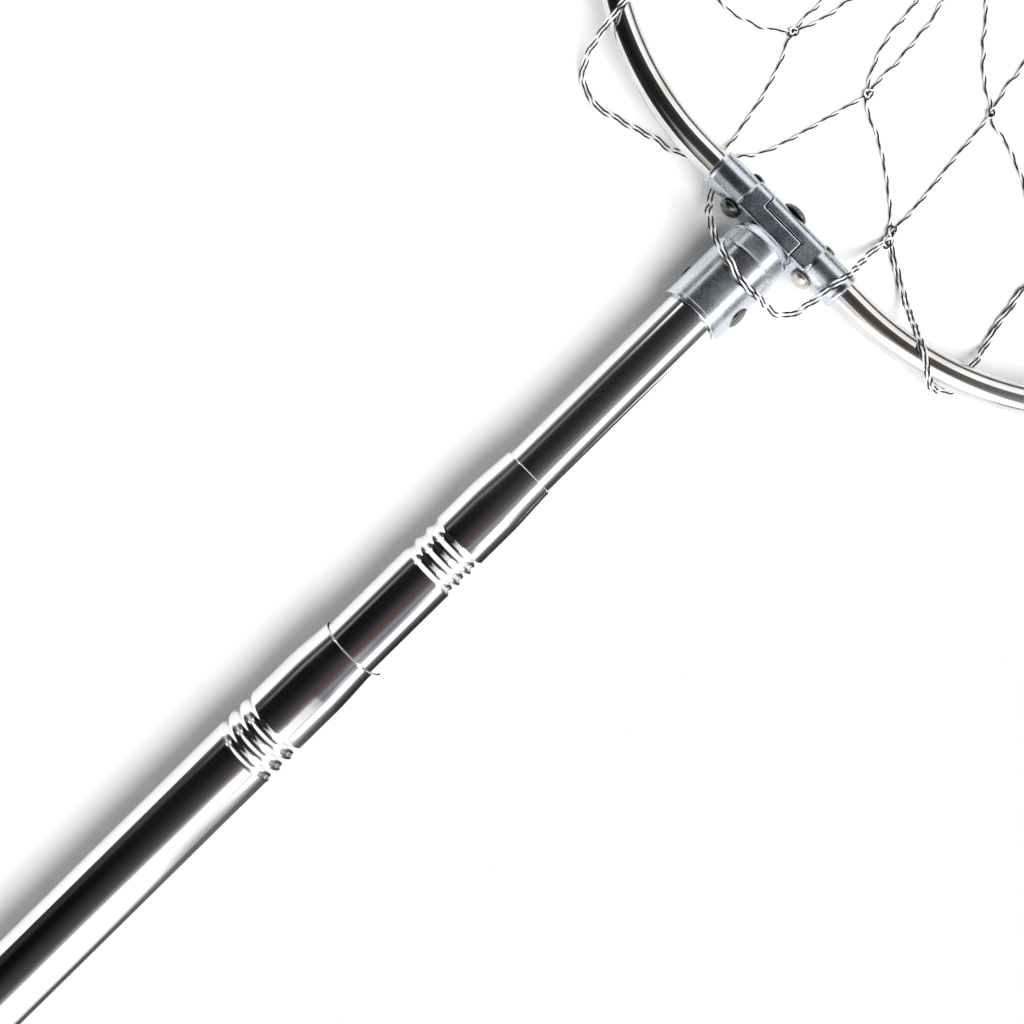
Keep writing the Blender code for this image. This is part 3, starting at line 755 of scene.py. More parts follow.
def bag_knots():
    """Places of the knots, by row and column, of a bag laid flat and drawn to a gather.
    Each bar keeps its length; slack is pushed out past the hoop's tip."""
    pos = np.zeros((ROWS + 1, N, 2))
    for k in range(N):
        x, y, _ = at(RIM_S[k], -19.0 - 5 * rng.random())
        pos[0, k] = (x, y)
    for r in range(1, ROWS + 1):
        for k in range(N):
            j = (k + r // 2) % N
            s = RIM_S[j] + (RIM_S[(j + 1) % N] - RIM_S[j]) % TOTAL * 0.5 * (r % 2)
            x, y, _ = at(s, -21.0)
            p0 = np.array([x, y])
            total = BAR * ROWS * 0.94
            u = r / ROWS
            gap = np.linalg.norm(GATHER - p0)
            slack = math.sqrt(max(0.0, total**2 - gap**2)) * 0.5
            wide = 1 if y >= 0 else -1
            bend = np.array([slack * 1.05, wide * slack * 0.25 * min(1, abs(y) / 60)])
            pos[r, k] = p0 * (1 - u) ** 2 + 2 * u * (1 - u) * ((p0 + GATHER) / 2 + bend) + GATHER * u * u
    for (r, k), p in known.items():
        pos[r, k] = p
    jitter = rng.normal(0, 2.2, pos.shape)
    jitter[0] *= 0.3
    fixed = np.zeros((ROWS + 1, N), bool)
    for key in known:
        fixed[key] = True
    fixed[0] = True
    pos[~fixed] += jitter[~fixed]
    for k in range(N):
        a = 2 * math.pi * (k + 0.5) / N
        pos[ROWS, k] = GATHER + 2.6 * np.array([math.cos(a), math.sin(a)])
    fixed[ROWS] = True
    links = []
    for r in range(ROWS):
        for k in range(N):
            for j in bar_ends(r, k):
                links.append(((r, k), (r + 1, j)))
    for _ in range(900):
        for a, b in links:
            d = pos[b] - pos[a]
            l = np.hypot(*d)
            goal = l
            if l > BAR * 0.985:
                goal, w = BAR * 0.985, 0.5
            elif l < BAR * 0.8:
                goal, w = BAR * 0.8, 0.12
            else:
                continue
            move = d / max(l, 1e-6) * (l - goal) * w
            fa, fb = fixed[a], fixed[b]
            if fa and fb:
                continue
            if fa:
                pos[b] -= 2 * move
            elif fb:
                pos[a] += 2 * move
            else:
                pos[a] += move
                pos[b] -= move
        free = ~fixed
        x = pos[..., 0]
        x[free & (x > WALL_X)] = WALL_X
        lim = 112.0 - np.clip((x - 170) / 130, 0, 1) * 62
        y = pos[..., 1]
        y[free & (y > lim)] = lim[free & (y > lim)]
        y[free & (y < -lim)] = -lim[free & (y < -lim)]
    return pos, links


def bar_ends(r, k):
    """Columns of the next row that knot k of row r is tied to."""
    # each row sits half a column on from the one before
    return ((k - 1) % N, k)


def bow(a, b, length, sign, wob):
    """A slack bar between two knots: a shallow arch of the bar's own length."""
    a, b = np.array(a, float), np.array(b, float)
    d = b - a
    l = max(np.hypot(*d), 1e-6)
    nrm = np.array([-d[1], d[0]]) / l
    extra = max(0.0, length - l)
    h = math.sqrt(3 / 8 * l * extra) if extra < length * 0.45 else length * 0.4
    pts = []
    for i in range(9):
        t = i / 8
        shape = 4 * t * (1 - t)
        pts.append(a + d * t + nrm * (sign * h * shape * (1 + 0.25 * math.sin(2 * math.pi * t + wob)) + 0.5 * math.sin(3 * math.pi * t + wob) * shape))
    return [(p[0], p[1], GROUND) for p in pts]


pos, links = bag_knots()


def knot_z(key):
    """The knot beside the left ferrule hangs just under it."""
    return -7.9 if key == (0, 1) else GROUND



# bars that show in front of the head, laid out point by point
drawn = {
    ((0, 1), (1, 0)): [(8.7, 26.5, -9.3), (13.2, 27.1), (18.3, 28.3), (25.1, 29.5), (31.6, 31.4), (38.3, 33.8), (41.8, 35.8)],
    ((0, 0), (1, 0)): [(36.8, 65.4), (36.9, 57.5), (36.5, 54.7), (38.0, 48.6), (40.4, 42.7), (43.4, 39.4)],
    ((0, 1), (1, 1)): [(9.9, 22.1, -9.3), (12.7, 20.2), (17.4, 17.8), (24.0, 15.7), (30.5, 14.0), (36.8, 12.4)],
    ((0, 2), (1, 1)): [(28.8, -18.8), (32.5, -14.3), (36.2, -9.3), (39.5, -4.3), (42.3, 0.8), (43.4, 4.0), (45.8, 8.4)],
    ((0, 2), (1, 2)): [(27.6, -22.4), (33.1, -22.4), (40.0, -21.7), (46.8, -20.9), (53.9, -20.0), (61.2, -19.4), (66.7, -18.6)],
    ((0, 3), (1, 2)): [(54.1, -49.7), (61.5, -38.5), (63.6, -33.6), (66.0, -27.2), (66.9, -20.7)],
    ((1, 0), (2, 13)): [(51.3, 37.4), (55.0, 36.9), (57.2, 37.5), (70.0, 40.0)],
    ((1, 0), (2, 0)): [(52.5, 33.9), (59.2, 32.4), (62.6, 32.2), (74.0, 27.0)],
    ((1, 1), (2, 0)): [(51.3, 12.7), (54.8, 14.0), (58.1, 15.8), (61.5, 16.4), (65.4, 17.6), (69.4, 17.6), (73.7, 18.4), (76.3, 18.7)],
    ((1, 1), (2, 1)): [(50.9, 10.0), (56.0, 10.4), (59.6, 10.0), (64.3, 10.9), (66.9, 10.7), (71.4, 11.7), (74.8, 11.5), (81.7, 13.4)],
    ((1, 2), (2, 1)): [(71.0, -15.8), (72.2, -12.6), (74.5, -9.8), (76.5, -7.0), (79.4, -4.8), (81.4, -2.0), (84.5, -0.1)],
    ((1, 2), (2, 2)): [(74.2, -16.9), (77.7, -15.7), (81.1, -15.9), (85.0, -14.7), (96.0, -13.5)],
}
strands = []  # (name of group, points, knot at the start, knot at the end)
for a, b in links:
    if (a, b) in drawn:
        mid = [(p[0], p[1], p[2] if len(p) > 2 else GROUND) for p in drawn[(a, b)]]
        pts = [(*pos[a], knot_z(a))] + mid + [(*pos[b], knot_z(b))]
    else:
        pts = bow(pos[a], pos[b], BAR, 1 if rng.random() > 0.5 else -1, rng.random() * 6.28)
    strands.append(["bag", relax(spline(pts), 4), a, b])

# rim loops: each goes round the hoop, over it at one end and under it at the other
TOP, LOW = TUBE_R / MM + 0.62, -TUBE_R / MM - 0.62
rim_drawn = {
    0: [(23.5, 73.2, -2), (11.1, 71.5, 4.9), (6.4, 71.2, 4.6), (2.9, 71.1, 1.5), (-1.9, 71.1, -5), (-6.2, 68.6), (-7.8, 63.9), (-8.6, 60.7), (-6.9, 54.4), (-5.3, 48.9), (-3.1, 42.4), (-2.6, 37.0, -9.2), (-1.4, 33.8, -7.6), (0.1, 29.3, -6.2)],
    1: [(-0.4, 22.4, -6.4), (-3.6, 20.8, -6.1), (-7.7, 18.1, -3), (-10.4, 16.9, 0.4), (-13.1, 13.8, 3.6), (-15.3, 11.2, 6.6), (-17.2, 8.4, 9.0), (-18.2, 5.6, 10.2), (-19.1, 1.4, 10.75), (-19.8, -1.3, 10.4), (-19.8, -4.3, 9.3), (-18.9, -7.6, 6.8), (-17.4, -10.6, 1.5), (-16.2, -13.4, -3), (-15.3, -15.9, -4.5), (-13.7, -18.0, -4.0), (-12.0, -19.2, -1.6), (-10.1, -19.5, 1.6), (-8.1, -19.9, 4.2), (-4.8, -20.2, 6.2), (-0.8, -20.9, 6.2), (4.3, -21.7, 3.2), (9.3, -22.0, -2.5), (14.4, -22.2, -7), (20.9, -22.5, -9.6)],
    2: [(21.3, -27.2), (18.0, -32.9), (13.5, -39.0, -8), (7.9, -44.3, -1), (3.3, -48.5, 4.9), (1.9, -51.0, 5.3), (0.2, -54.1, 4.3), (-0.6, -58.0, 0), (1.4, -61.3, -5), (4.0, -63.7, -8), (6.3, -65.9, -9.5), (8.2, -66.0, -9), (10.0, -64.8, -7.4), (12.2, -64.0, -6.3), (15.9, -64.0, -7.4), (21.8, -63.3), (24.9, -62.5), (27.7, -61.7), (30.7, -61.1), (33.6, -60.9), (37.4, -59.9), (40.9, -59.4)],
}
for k in range(N):
    j = (k + 1) % N
    first, last = (*pos[0, k], knot_z((0, k))), (*pos[0, j], knot_z((0, j)))
    if k in rim_drawn:
        mid = [(p[0], p[1], p[2] if len(p) > 2 else GROUND) for p in rim_drawn[k]]
    else:
        s0, s1 = RIM_S[k], RIM_S[k] + (RIM_S[j] - RIM_S[k]) % TOTAL
        span = s1 - s0
        c0, c1 = s0 + span * (0.2 + 0.08 * rng.random()), s1 - span * (0.2 + 0.08 * rng.random())
        out = 12.0 + 3.5 * rng.random()
        over_first = k % 2 == 0
        z0, z1 = (TOP, LOW) if over_first else (LOW, TOP)
        zs = GROUND

        def half(c, z, sgn, knot_s):
            e = (c - knot_s) * 0.45
            if z > 0:
                return [
                    at(c - e, -11.0, -7.5),
                    at(c - e * 0.4, -5.4, 1.5),
                    at(c, -1.5, z - 0.1),
                    at(c, 1.5, z - 0.1),
                    at(c + e * 0.25, 5.2, 0.5),
                    at(c + e * 0.6, 8.0, -7.5),
                ]
            return [
                at(c - e, -11.0, -9.8),
                at(c - e * 0.3, -4.0, z - 2.2),
                at(c, 0.0, z - 0.9),
                at(c + e * 0.3, 4.0, z - 2.2),
                at(c + e * 0.6, 8.0, -9.6),
            ]

        a = half(c0, z0, 1, s0)
        b = half(c1, z1, -1, s1)[::-1]
        m = (c0 + c1) / 2
        w = (c1 - c0)
        mid = a + [at(m - w * 0.12, out, zs), at(m + w * 0.12, out + 1.0, zs)] + b
    path = relax(spline([first] + mid + [last]), 3)
    strands.append(["rim", path, (0, k), (0, j)])


def frames(p):
    """Tangents and a steady side vector along a path."""
    t = np.gradient(p, axis=0)
    t /= np.linalg.norm(t, axis=1)[:, None] + 1e-12
    up = np.array([0.0, 0.0, 1.0])
    u = np.zeros_like(p)
    v = np.cross(t[0], up)
    if np.linalg.norm(v) < 1e-3:
        v = np.cross(t[0], (0, 1.0, 0))
    v /= np.linalg.norm(v)
    for i in range(len(p)):
        v = v - t[i] * (v @ t[i])
        v /= np.linalg.norm(v) + 1e-12
        u[i] = v
    return t, u, np.cross(t, u)


def split(path, gap, turns_per_mm, phase):
    """Two twines laid side by side along one path, loosely round each other."""
    t, u, w = frames(path)
    # side by side in plan, wherever the path has a heading
    flat = np.stack([t[:, 1], -t[:, 0], 0 * t[:, 0]], 1)
    size = np.linalg.norm(flat, axis=1)
    good = size > 0.25
    flat[good] /= size[good][:, None]
    for i in range(1, len(flat)):
        if not good[i]:
            flat[i] = flat[i - 1]
    u = relax(flat, 8)
    u /= np.linalg.norm(u, axis=1)[:, None] + 1e-9
    w = np.cross(t, u)
    s = np.r_[0, np.cumsum(np.linalg.norm(np.diff(path, axis=0), axis=1))]
    near = np.clip(np.minimum(s, s[-1] - s) / 6.0, 0, 1)
    a = phase + 2 * math.pi * turns_per_mm * s
    out = []
    for sign in (1, -1):
        g = gap * (0.55 + 0.45 * near)[:, None]
        q = path + sign * g * (u * np.cos(a)[:, None] + w * np.sin(a)[:, None] * 0.55)
        out.append(q)
    return out


# the rim is made with the twine doubled
lines = []
arcs = []
for kind, path, a, b in strands:
    arc_s = np.r_[0, np.cumsum(np.linalg.norm(np.diff(path, axis=0), axis=1))]
    if kind == "rim":
        turn = rng.random() * 0.25
        for q in split(path, 0.53, 0.0005, turn):
            q[:, 2] = np.maximum(q[:, 2], GROUND)
            lines.append(["rim", q, a, b])
            arcs.append(arc_s)
    else:
        lines.append(["bag", path, a, b])
        arcs.append(arc_s)


def stack(lines):
    """Raise each strand over the strands that it crosses on the ground."""
    ids, pts = [], []
    for i, (kind, q, a, b) in enumerate(lines):
        ids.append(np.full(len(q), i))
        pts.append(q)
    ids, pts = np.concatenate(ids), np.concatenate(pts)
    index = np.arange(len(ids))
    clear = 2 * TWINE_R + 0.05
    cell = 1.3
    key = np.floor(pts[:, :2] / cell).astype(int)
    table = {}
    for i, (cx, cy) in enumerate(map(tuple, key)):
        table.setdefault((cx, cy), []).append(i)
    pairs = []
    ends = [(set((l[2], l[3])), len(l[1])) for l in lines]
    start = np.zeros(len(lines), int)
    n = 0
    for i, l in enumerate(lines):
        start[i] = n
        n += len(l[1])
    for (cx, cy), members in table.items():
        near = []
        for dx in (-1, 0, 1):
            for dy in (-1, 0, 1):
                near += table.get((cx + dx, cy + dy), [])
        near = np.array(near)
        for i in members:
            cand = near[(ids[near] < ids[i])]
            if not len(cand):
                continue
            d = np.hypot(pts[cand, 0] - pts[i, 0], pts[cand, 1] - pts[i, 1])
            for c, dd in zip(cand[d < clear], d[d < clear]):
                la, lb = ids[i], ids[c]
                shared = ends[la][0] & ends[lb][0]
                if shared or pts[i, 2] > -5.5 or pts[c, 2] > -5.5:
                    continue
                pairs.append((i, c, dd))
    if not pairs:
        return lines
    pa = np.array([p[0] for p in pairs])
    pb = np.array([p[1] for p in pairs])
    lift = np.sqrt(np.maximum(0, clear**2 - np.array([p[2] for p in pairs]) ** 2))
    # which of the two is on top: the later strand, unless it already runs well below
    z0 = pts[:, 2].copy()
    swap = z0[pa] + 1.2 < z0[pb]
    hi = np.where(swap, pb, pa)
    lo = np.where(swap, pa, pb)
    z = z0.copy()
    for _ in range(60):
        need = z.copy()
        np.maximum.at(need, hi, z[lo] + lift)
        z = need
        # a strand leaves a crossing at a shallow slope
        for i, l in enumerate(lines):
            s0, m = start[i], len(l[1])
            seg = z[s0 : s0 + m] - z0[s0 : s0 + m]
            for shift, drop in ((1, 0.13), (2, 0.22), (4, 0.5)):
                if m > shift:
                    seg[shift:] = np.maximum(seg[shift:], seg[:-shift] - drop)
                    seg[:-shift] = np.maximum(seg[:-shift], seg[shift:] - drop)
            z[s0 : s0 + m] = z0[s0 : s0 + m] + seg
        if np.abs(z - need).max() < 1e-3 and _ > 20:
            break
    z = np.minimum(z, np.maximum(z0, 3.0))
    for i, l in enumerate(lines):
        s0, m = start[i], len(l[1])
        zi = z[s0 : s0 + m]
        base = zi.copy()
        for _ in range(5):
            zi[1:-1] = 0.5 * zi[1:-1] + 0.25 * (zi[:-2] + zi[2:])
        l[1][:, 2] = np.maximum(zi, base - 0.12)
    return lines


order = {"bag": 0, "rim": 1}
lines = stack(lines)

knots = {}
for kind, q, a, b in lines:
    knots.setdefault(a, []).append((q[0], q[min(6, len(q) - 1)] - q[0]))
    knots.setdefault(b, []).append((q[-1], q[max(-7, -len(q))] - q[-1]))


def knot_path(centre, ends, big, seed, shift=0.0):
    """A closed loop of twine wound through itself, drawn out along the bars it ties."""
    local = np.random.default_rng(seed)
    flat = np.array([[d[0], d[1]] for _, d in ends])
    flat /= np.linalg.norm(flat, axis=1)[:, None] + 1e-9
    m = flat.T @ flat
    w, v = np.linalg.eigh(m)
    along = v[:, 1]
    side = np.array([-along[1], along[0]])
    t = np.linspace(0, 2 * math.pi, 64, endpoint=False) + local.random() * 6.28
    R, r = (0.92, 0.40) if big else (0.72, 0.34)
    stretch = 1.45 if big else 1.3
    a = (R + r * np.cos(3 * t)) * np.cos(2 * t) * stretch
    b = (R + r * np.cos(3 * t)) * np.sin(2 * t) * 0.95
    c = r * 1.15 * np.sin(3 * t)
    a += shift
    p = np.stack([centre[0] + along[0] * a + side[0] * b, centre[1] + along[1] * a + side[1] * b, centre[2] + 0.45 + c], 1)
    p[:, 2] = np.maximum(p[:, 2], GROUND)
    return p


class Sweep:
    """Collects twisted two ply twine as one mesh."""

    def __init__(self):
        self.v, self.f, self.m, self.uv = [], [], [], []
        self.n = 0

    def add(self, path, phase=0.0, closed=False, sides=6, ends=True, s=None):
        p = np.asarray(path, float)
        if closed:
            p = np.vstack([p, p[:1]])
        t, u, w = frames(p)
        if closed:
            t[0] = t[-1] = (t[0] + t[-1]) / np.linalg.norm(t[0] + t[-1])
        if s is None:
            s = np.r_[0, np.cumsum(np.linalg.norm(np.diff(p, axis=0), axis=1))]
        a = phase + 2 * math.pi * s / TWIST
        k = np.arange(sides)
        for ply in range(2):
            b = a + ply * math.pi
            off = u * np.cos(b)[:, None] + w * np.sin(b)[:, None]
            centre = p + off * PLY_OFF
            ang = b[:, None] + 2 * math.pi * k[None, :] / sides
            ring = centre[:, None, :] + PLY_R[ply] * (u[:, None, :] * np.cos(ang)[..., None] + w[:, None, :] * np.sin(ang)[..., None])
            m = len(p)
            base = self.n
            self.v.append(ring.reshape(-1, 3))
            i = np.arange(m - 1)[:, None]
            j = k[None, :]
            j1 = (k[None, :] + 1) % sides
            quad = np.stack([base + i * sides + j, base + i * sides + j1, base + (i + 1) * sides + j1, base + (i + 1) * sides + j], -1).reshape(-1, 4)
            self.f.append(quad)
            self.m.append(np.full(len(quad), ply))
            sv = s / TWIST
            u0, u1 = np.repeat(sv[:-1], sides), np.repeat(sv[1:], sides)
            v0 = np.tile(k / sides, m - 1)
            v1 = v0 + 1 / sides
            self.uv.append(np.stack([np.stack([u0, v0], -1), np.stack([u0, v1], -1), np.stack([u1, v1], -1), np.stack([u1, v0], -1)], 1))
            self.n += m * sides
            if ends:
                for row in (0, m - 1):
                    ids = base + row * sides + k
                    if row == 0:
                        ids = ids[::-1]
                    tri = [[ids[0], ids[x], ids[x + 1], ids[x + 2]] for x in range(1, sides - 2, 2)]
                    tri = np.array(tri)
                    self.f.append(tri)
                    self.m.append(np.full(len(tri), ply))
                    self.uv.append(np.zeros((len(tri), 4, 2)))

    def object(self, name):
        v = np.concatenate(self.v) * MM
        v[:, 0] += XC
        f = np.concatenate(self.f)
        me = bpy.data.meshes.new(name)
        me.vertices.add(len(v))
        me.vertices.foreach_set("co", v.astype(np.float32).ravel())
        me.loops.add(f.size)
        me.loops.foreach_set("vertex_index", f.astype(np.int32).ravel())
        me.polygons.add(len(f))
        me.polygons.foreach_set("loop_start", np.arange(0, f.size, 4, dtype=np.int32))
        me.polygons.foreach_set("loop_total", np.full(len(f), 4, dtype=np.int32))
        me.update(calc_edges=True)
        me.polygons.foreach_set("material_index", np.concatenate(self.m).astype(np.int32))
        lay = me.uv_layers.new(name="UVMap")
        lay.data.foreach_set("uv", np.concatenate(self.uv).astype(np.float32).ravel())
        me.materials.append(PLY_WHITE)
        me.materials.append(PLY_BLACK)
        me.validate()
        me.shade_smooth()
        ob = bpy.data.objects.new(name, me)
        scene.collection.objects.link(ob)
        return ob


def net_piece(name, sweep):
    ob = sweep.object(name)
    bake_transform(ob)
    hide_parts("left_net", "right_net")
    print(name, len(ob.data.polygons), "faces")
    return ob


rim, upper, lower, ties = Sweep(), Sweep(), Sweep(), Sweep()
phase = {}
for (kind, q, a, b), arc_s in zip(lines, arcs):
    target = rim if kind == "rim" else (upper if a[0] < 2 else lower)
    target.add(q, phase.setdefault((kind, a, b), rng.random() * 6.28), s=arc_s)
for i, (key, ends) in enumerate(sorted(knots.items())):
    if key[0] == ROWS:
        continue
    c = np.mean([e[0] for e in ends], axis=0)
    c[2] = max(e[0][2] for e in ends)
    for shift in (-1.55, 1.55) if key[0] == 0 else (0.0,):
        path = knot_path(c, ends, key[0] == 0, i + round(10 * shift + 100), shift)
        ties.add(path, closed=True, ends=False)
# the cord that draws the bottom of the bag together: a few tight turns, and its bow ends
t = np.linspace(0, 2 * math.pi * 3, 90)
zg = max(q[-1][2] if b[0] == ROWS else q[0][2] for kind, q, a, b in lines if ROWS in (a[0], b[0]))
coil = np.stack([GATHER[0] + 3.2 * np.cos(t) * (1 - t / 60), GATHER[1] + 3.0 * np.sin(t) * (1 - t / 60), GROUND + 0.9 + 0.22 * t], 1)
ties.add(spline(coil), 0.0)
for sgn in (1, -1):
    tail = [(GATHER[0] + 2.5, GATHER[1] + sgn * 1.0, GROUND + 3.6), (GATHER[0] + 5, GATHER[1] + sgn * 4, GROUND + 3.0), (GATHER[0] + 9, GATHER[1] + sgn * 8.5, GROUND + 1.6), (GATHER[0] + 13, GATHER[1] + sgn * 10, GROUND + 1.2)]
    ties.add(relax(spline(tail), 3), 1.0)
net_piece("net_rim_loops", rim)
net_piece("net_bag_upper", upper)
net_piece("net_bag_lower", lower)
net_piece("net_knots", ties)

# ---------------------------------------------------------------- stage, light and camera
bm = bmesh.new()
size = 3.0
# the white board stops short of the handle's right side, and runs on under the hoop
x1, y1, z1 = XC - 35 * MM, -70 * MM, FLOOR - 0.02 * MM
a0, a1, a2, a3, a4, a5 = [bm.verts.new((x, y, z1)) for x, y in ((-size, y1), (x1, y1), (x1, size), (-size, size), (size, size), (size, y1))]
b0, b1 = [bm.verts.new((x, -size, z1)) for x in (x1, size)]
bm.faces.new((a0, a1, a2, a3))
bm.faces.new((a1, a5, a4, a2))
bm.faces.new((b0, b1, a5, a1))
me = bpy.data.meshes.new("table_top")
bm.to_mesh(me)
bm.free()
floor = bpy.data.objects.new("table_top", me)
scene.collection.objects.link(floor)
m, nt, b = new_material("table_white")
b.inputs["Base Color"].default_value = (0.9, 0.9, 0.9, 1)
b.inputs["Roughness"].default_value = 1.0
b.inputs["Specular IOR Level"].default_value = 0.0
me.materials.append(m)

world = bpy.data.worlds.new("studio")
scene.world = world
world.use_nodes = True
nt = world.node_tree
nt.nodes.clear()
out = node(nt, "ShaderNodeOutputWorld")
bg = node(nt, "ShaderNodeBackground")
tc = node(nt, "ShaderNodeTexCoord")
sep = node(nt, "ShaderNodeSeparateXYZ")
nt.links.new(tc.outputs["Generated"], sep.inputs["Vector"])


def angle(axis):
    """0 to 1 for -180 to 180 degrees from the zenith towards an axis."""
    at2 = node(nt, "ShaderNodeMath", operation="ARCTAN2")
    nt.links.new(sep.outputs[axis], at2.inputs[0])
    nt.links.new(sep.outputs["Z"], at2.inputs[1])
    mr = node(nt, "ShaderNodeMapRange")
    mr.inputs["From Min"].default_value = -math.pi
    mr.inputs["From Max"].default_value = math.pi
    nt.links.new(at2.outputs[0], mr.inputs["Value"])
    return mr.outputs["Result"]


KEY = 3.2
WHITE = "window"
PALE = "blind"


def level(v):
    """Radiance that a polished tube turns into the grey or colour v of 0 to 255."""
    if v in (WHITE, PALE):
        return (KEY if v == WHITE else 2.2,) * 3
    v = v if hasattr(v, "__len__") else (v, v, v)
    return tuple((c / 255 / 12.92 if c < 10.3 else ((c / 255 + 0.055) / 1.055) ** 2.4) / 0.8 for c in v)


def studio(src, table):
    return ramp(nt, src, [((d + 180) / 360, tuple(c / KEY for c in level(v))) for d, v in table])


# what lies across the handle, by degrees from the zenith towards the left side, at
# several leans towards the head: windows on the right, a dark room on the left, and
# a pale wall beyond the head
ROOM = [
    (-0.56, [(-97, 90), (-92, 80), (-89, 190), (-82, 248), (-79, WHITE), (-22, WHITE), (-19.5, 245), (-15, 164), (-10, 119), (-5, 83), (0, 68), (10, 57), (20, 46), (30, 33), (40, 21), (50, 12), (60, 13), (65, 23), (70, 46), (85, 48), (90, 85), (96, 180)]),
    (-0.44, [(-97, 105), (-90, 100), (-85, 123), (-80, 174), (-75, 178), (-65, 217), (-58, 240), (-50, 250), (-47, PALE), (-25, PALE), (-22, 225), (-18, 165), (-15, 133), (-10, 101), (-5, 78), (0, 68), (10, 51), (20, 41), (30, 30), (40, 23), (60, 23), (65, 32), (70, 59), (85, 67), (90, 117), (96, 180)]),
    (-0.20, [(-97, (46, 51, 47)), (-90, (57, 62, 59)), (-80, (94, 101, 98)), (-75, 150), (-73, 225), (-70, PALE), (-55, PALE), (-52.5, 215), (-50, (164, 162, 167)), (-45, (142, 143, 150)), (-40, (110, 113, 123)), (-35, (125, 129, 139)), (-30, (135, 135, 144)), (-25, (110, 103, 110)), (-20, (100, 86, 90)), (-15, (87, 71, 72)), (-5, (76, 63, 62)), (0, (68, 58, 57)), (10, 43), (20, 33), (30, 21), (55, 20), (60, 26), (63.5, 80), (66, 112), (70, 126), (73, 75), (75.5, 52), (80, 68), (85, 119), (90, 200), (96, 200)]),
    (0.14, [(-97, 79), (-90, 76), (-85, 78), (-80, 90), (-75, 112), (-70, 139), (-65, 183), (-62.5, 235), (-60, WHITE), (-45, WHITE), (-42.5, 228), (-40, 186), (-35, 143), (-30, 136), (-25, 111), (-20, 94), (-15, 88), (-10, 75), (-5, 64), (0, 61), (10, 52), (20, 41), (35, 36), (50, 45), (55, 64), (60, 102), (65, 114), (70, 69), (75, 75), (80, 96), (85, 150), (90, 190)]),
    (0.30, [(-97, 150), (-90, 130), (-80, 120), (-70, 150), (-65, 190), (-62.5, 235), (-60, WHITE), (-45, WHITE), (-42.5, 228), (-40, 190), (-35, 150), (-30, 136), (-20, 105), (-10, 90), (0, (66, 68, 76)), (10, (60, 62, 70)), (20, 50), (35, 40), (50, 50), (54, 110), (57, 255), (63, WHITE), (66, 140), (70, 80), (75, 85), (80, 110), (85, 150), (90, 180)]),
    (0.46, [(-97, 150), (-80, 150), (-65, 200), (-60, WHITE), (-45, WHITE), (-40, 190), (-30, 136), (-20, 100), (0, 66), (20, 52), (40, 48), (50, 60), (58, 150), (70, 200), (90, 200)]),
    (0.55, [(-97, 225), (-60, 260), (-40, 260), (0, 280), (40, 285), (90, 270)]),
    (0.88, [(-97, 225), (-60, 252), (-40, 250), (0, 270), (40, 270), (90, 250)]),
    (0.98, [(-97, 70), (0, 60), (90, 60)]),
]
lean = node(nt, "ShaderNodeMapRange")
lean.inputs["From Min"].default_value = -1.0
lean.inputs["From Max"].default_value = 1.0
nt.links.new(sep.outputs["X"], lean.inputs["Value"])
turn = angle("Y")
across = None
for i, (x, table) in enumerate(ROOM):
    here = studio(turn, table)
    if across is None:
        across = here
        continue
    mr = node(nt, "ShaderNodeMapRange", interpolation_type="SMOOTHSTEP")
    mr.inputs["From Min"].default_value = ROOM[i - 1][0]
    mr.inputs["From Max"].default_value = x
    nt.links.new(sep.outputs["X"], mr.inputs["Value"])
    mi = node(nt, "ShaderNodeMix", data_type="RGBA")
    nt.links.new(mr.outputs["Result"], mi.inputs[0])
    nt.links.new(across, mi.inputs[6])
    nt.links.new(here, mi.inputs[7])
    across = mi.outputs[2]
# a pale wall behind the butt, seen only by what faces that way
along = ramp(
    nt,
    lean.outputs["Result"],
    [((x + 1) / 2, c / KEY) for x, c in ((-1.0, 1.0), (-0.66, 1.0), (-0.60, 0.0), (1.0, 0.0))],
)
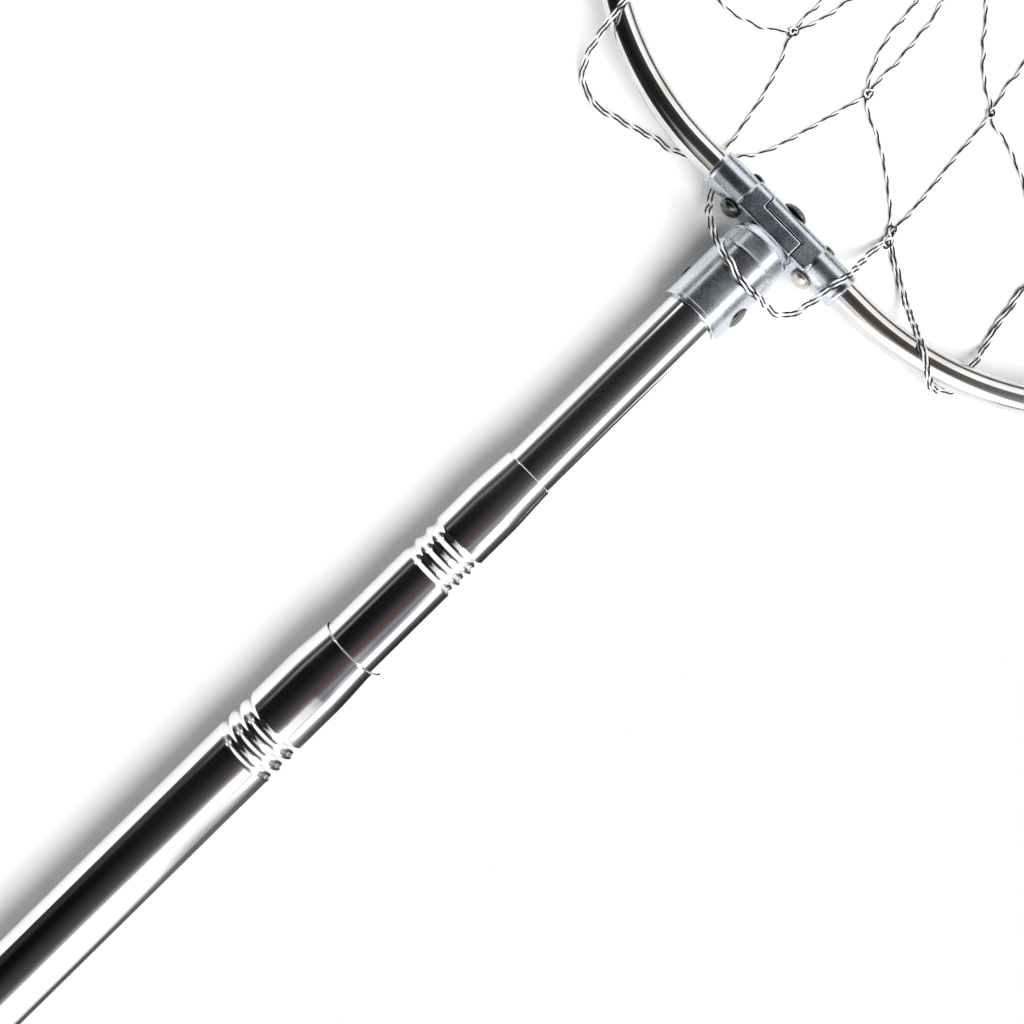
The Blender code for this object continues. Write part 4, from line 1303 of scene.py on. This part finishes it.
# its left end stands in the dark
fade = ramp(nt, turn, [((d + 180) / 360, c) for d, c in ((-180, 1.0), (0, 1.0), (30, 0.03), (180, 0.03))])
dim = node(nt, "ShaderNodeMix", data_type="RGBA", blend_type="MULTIPLY")
dim.inputs[0].default_value = 1.0
nt.links.new(along, dim.inputs[6])
nt.links.new(fade, dim.inputs[7])
along = dim.outputs[2]
mx = node(nt, "ShaderNodeMix", data_type="RGBA", blend_type="LIGHTEN")
mx.inputs[0].default_value = 1.0
nt.links.new(across, mx.inputs[6])
nt.links.new(along, mx.inputs[7])
bg.inputs["Strength"].default_value = KEY
nt.links.new(mx.outputs[2], bg.inputs["Color"])
# the camera sees a plain white room
lp = node(nt, "ShaderNodeLightPath")
white = node(nt, "ShaderNodeBackground", Strength=1.0)
white.inputs["Color"].default_value = (1, 1, 1, 1)
ms = node(nt, "ShaderNodeMixShader")
nt.links.new(lp.outputs["Is Camera Ray"], ms.inputs[0])
nt.links.new(bg.outputs[0], ms.inputs[1])
nt.links.new(white.outputs[0], ms.inputs[2])
nt.links.new(ms.outputs[0], out.inputs["Surface"])
world.cycles.sampling_method = "MANUAL"
world.cycles.sample_map_resolution = 1024

# broad soft light from above the right side, which lights what is matt
lamp_data = bpy.data.lights.new("soft_light", "SUN")
lamp_data.angle = math.radians(33)
lamp_data.energy = 2.5
lamp = bpy.data.objects.new("soft_light", lamp_data)
scene.collection.objects.link(lamp)
aim = Vector((-0.15, -math.sin(math.radians(30)), math.cos(math.radians(30)))).normalized()
lamp.location = Vector((XC - 110 * MM, 0, 0)) + aim * 1.5
lamp.rotation_euler = aim.to_track_quat("Z", "Y").to_euler()
lamp.visible_glossy = False
lamp.visible_camera = False

scene.view_settings.view_transform = "Standard"
scene.view_settings.look = "None"

cam_data = bpy.data.cameras.new("camera")
cam_data.lens = 34.73
cam_data.sensor_width = 36.0
cam_data.shift_x = -0.0207
cam_data.shift_y = -0.0207
cam_data.clip_start = 0.01
cam_data.clip_end = 20.0
cam = bpy.data.objects.new("camera", cam_data)
scene.collection.objects.link(cam)
cam.location = (XC - 96.5 * MM, -3.55 * MM, 265.6 * MM)
cam.rotation_euler = (0, 0, math.radians(-44.58))
scene.camera = cam
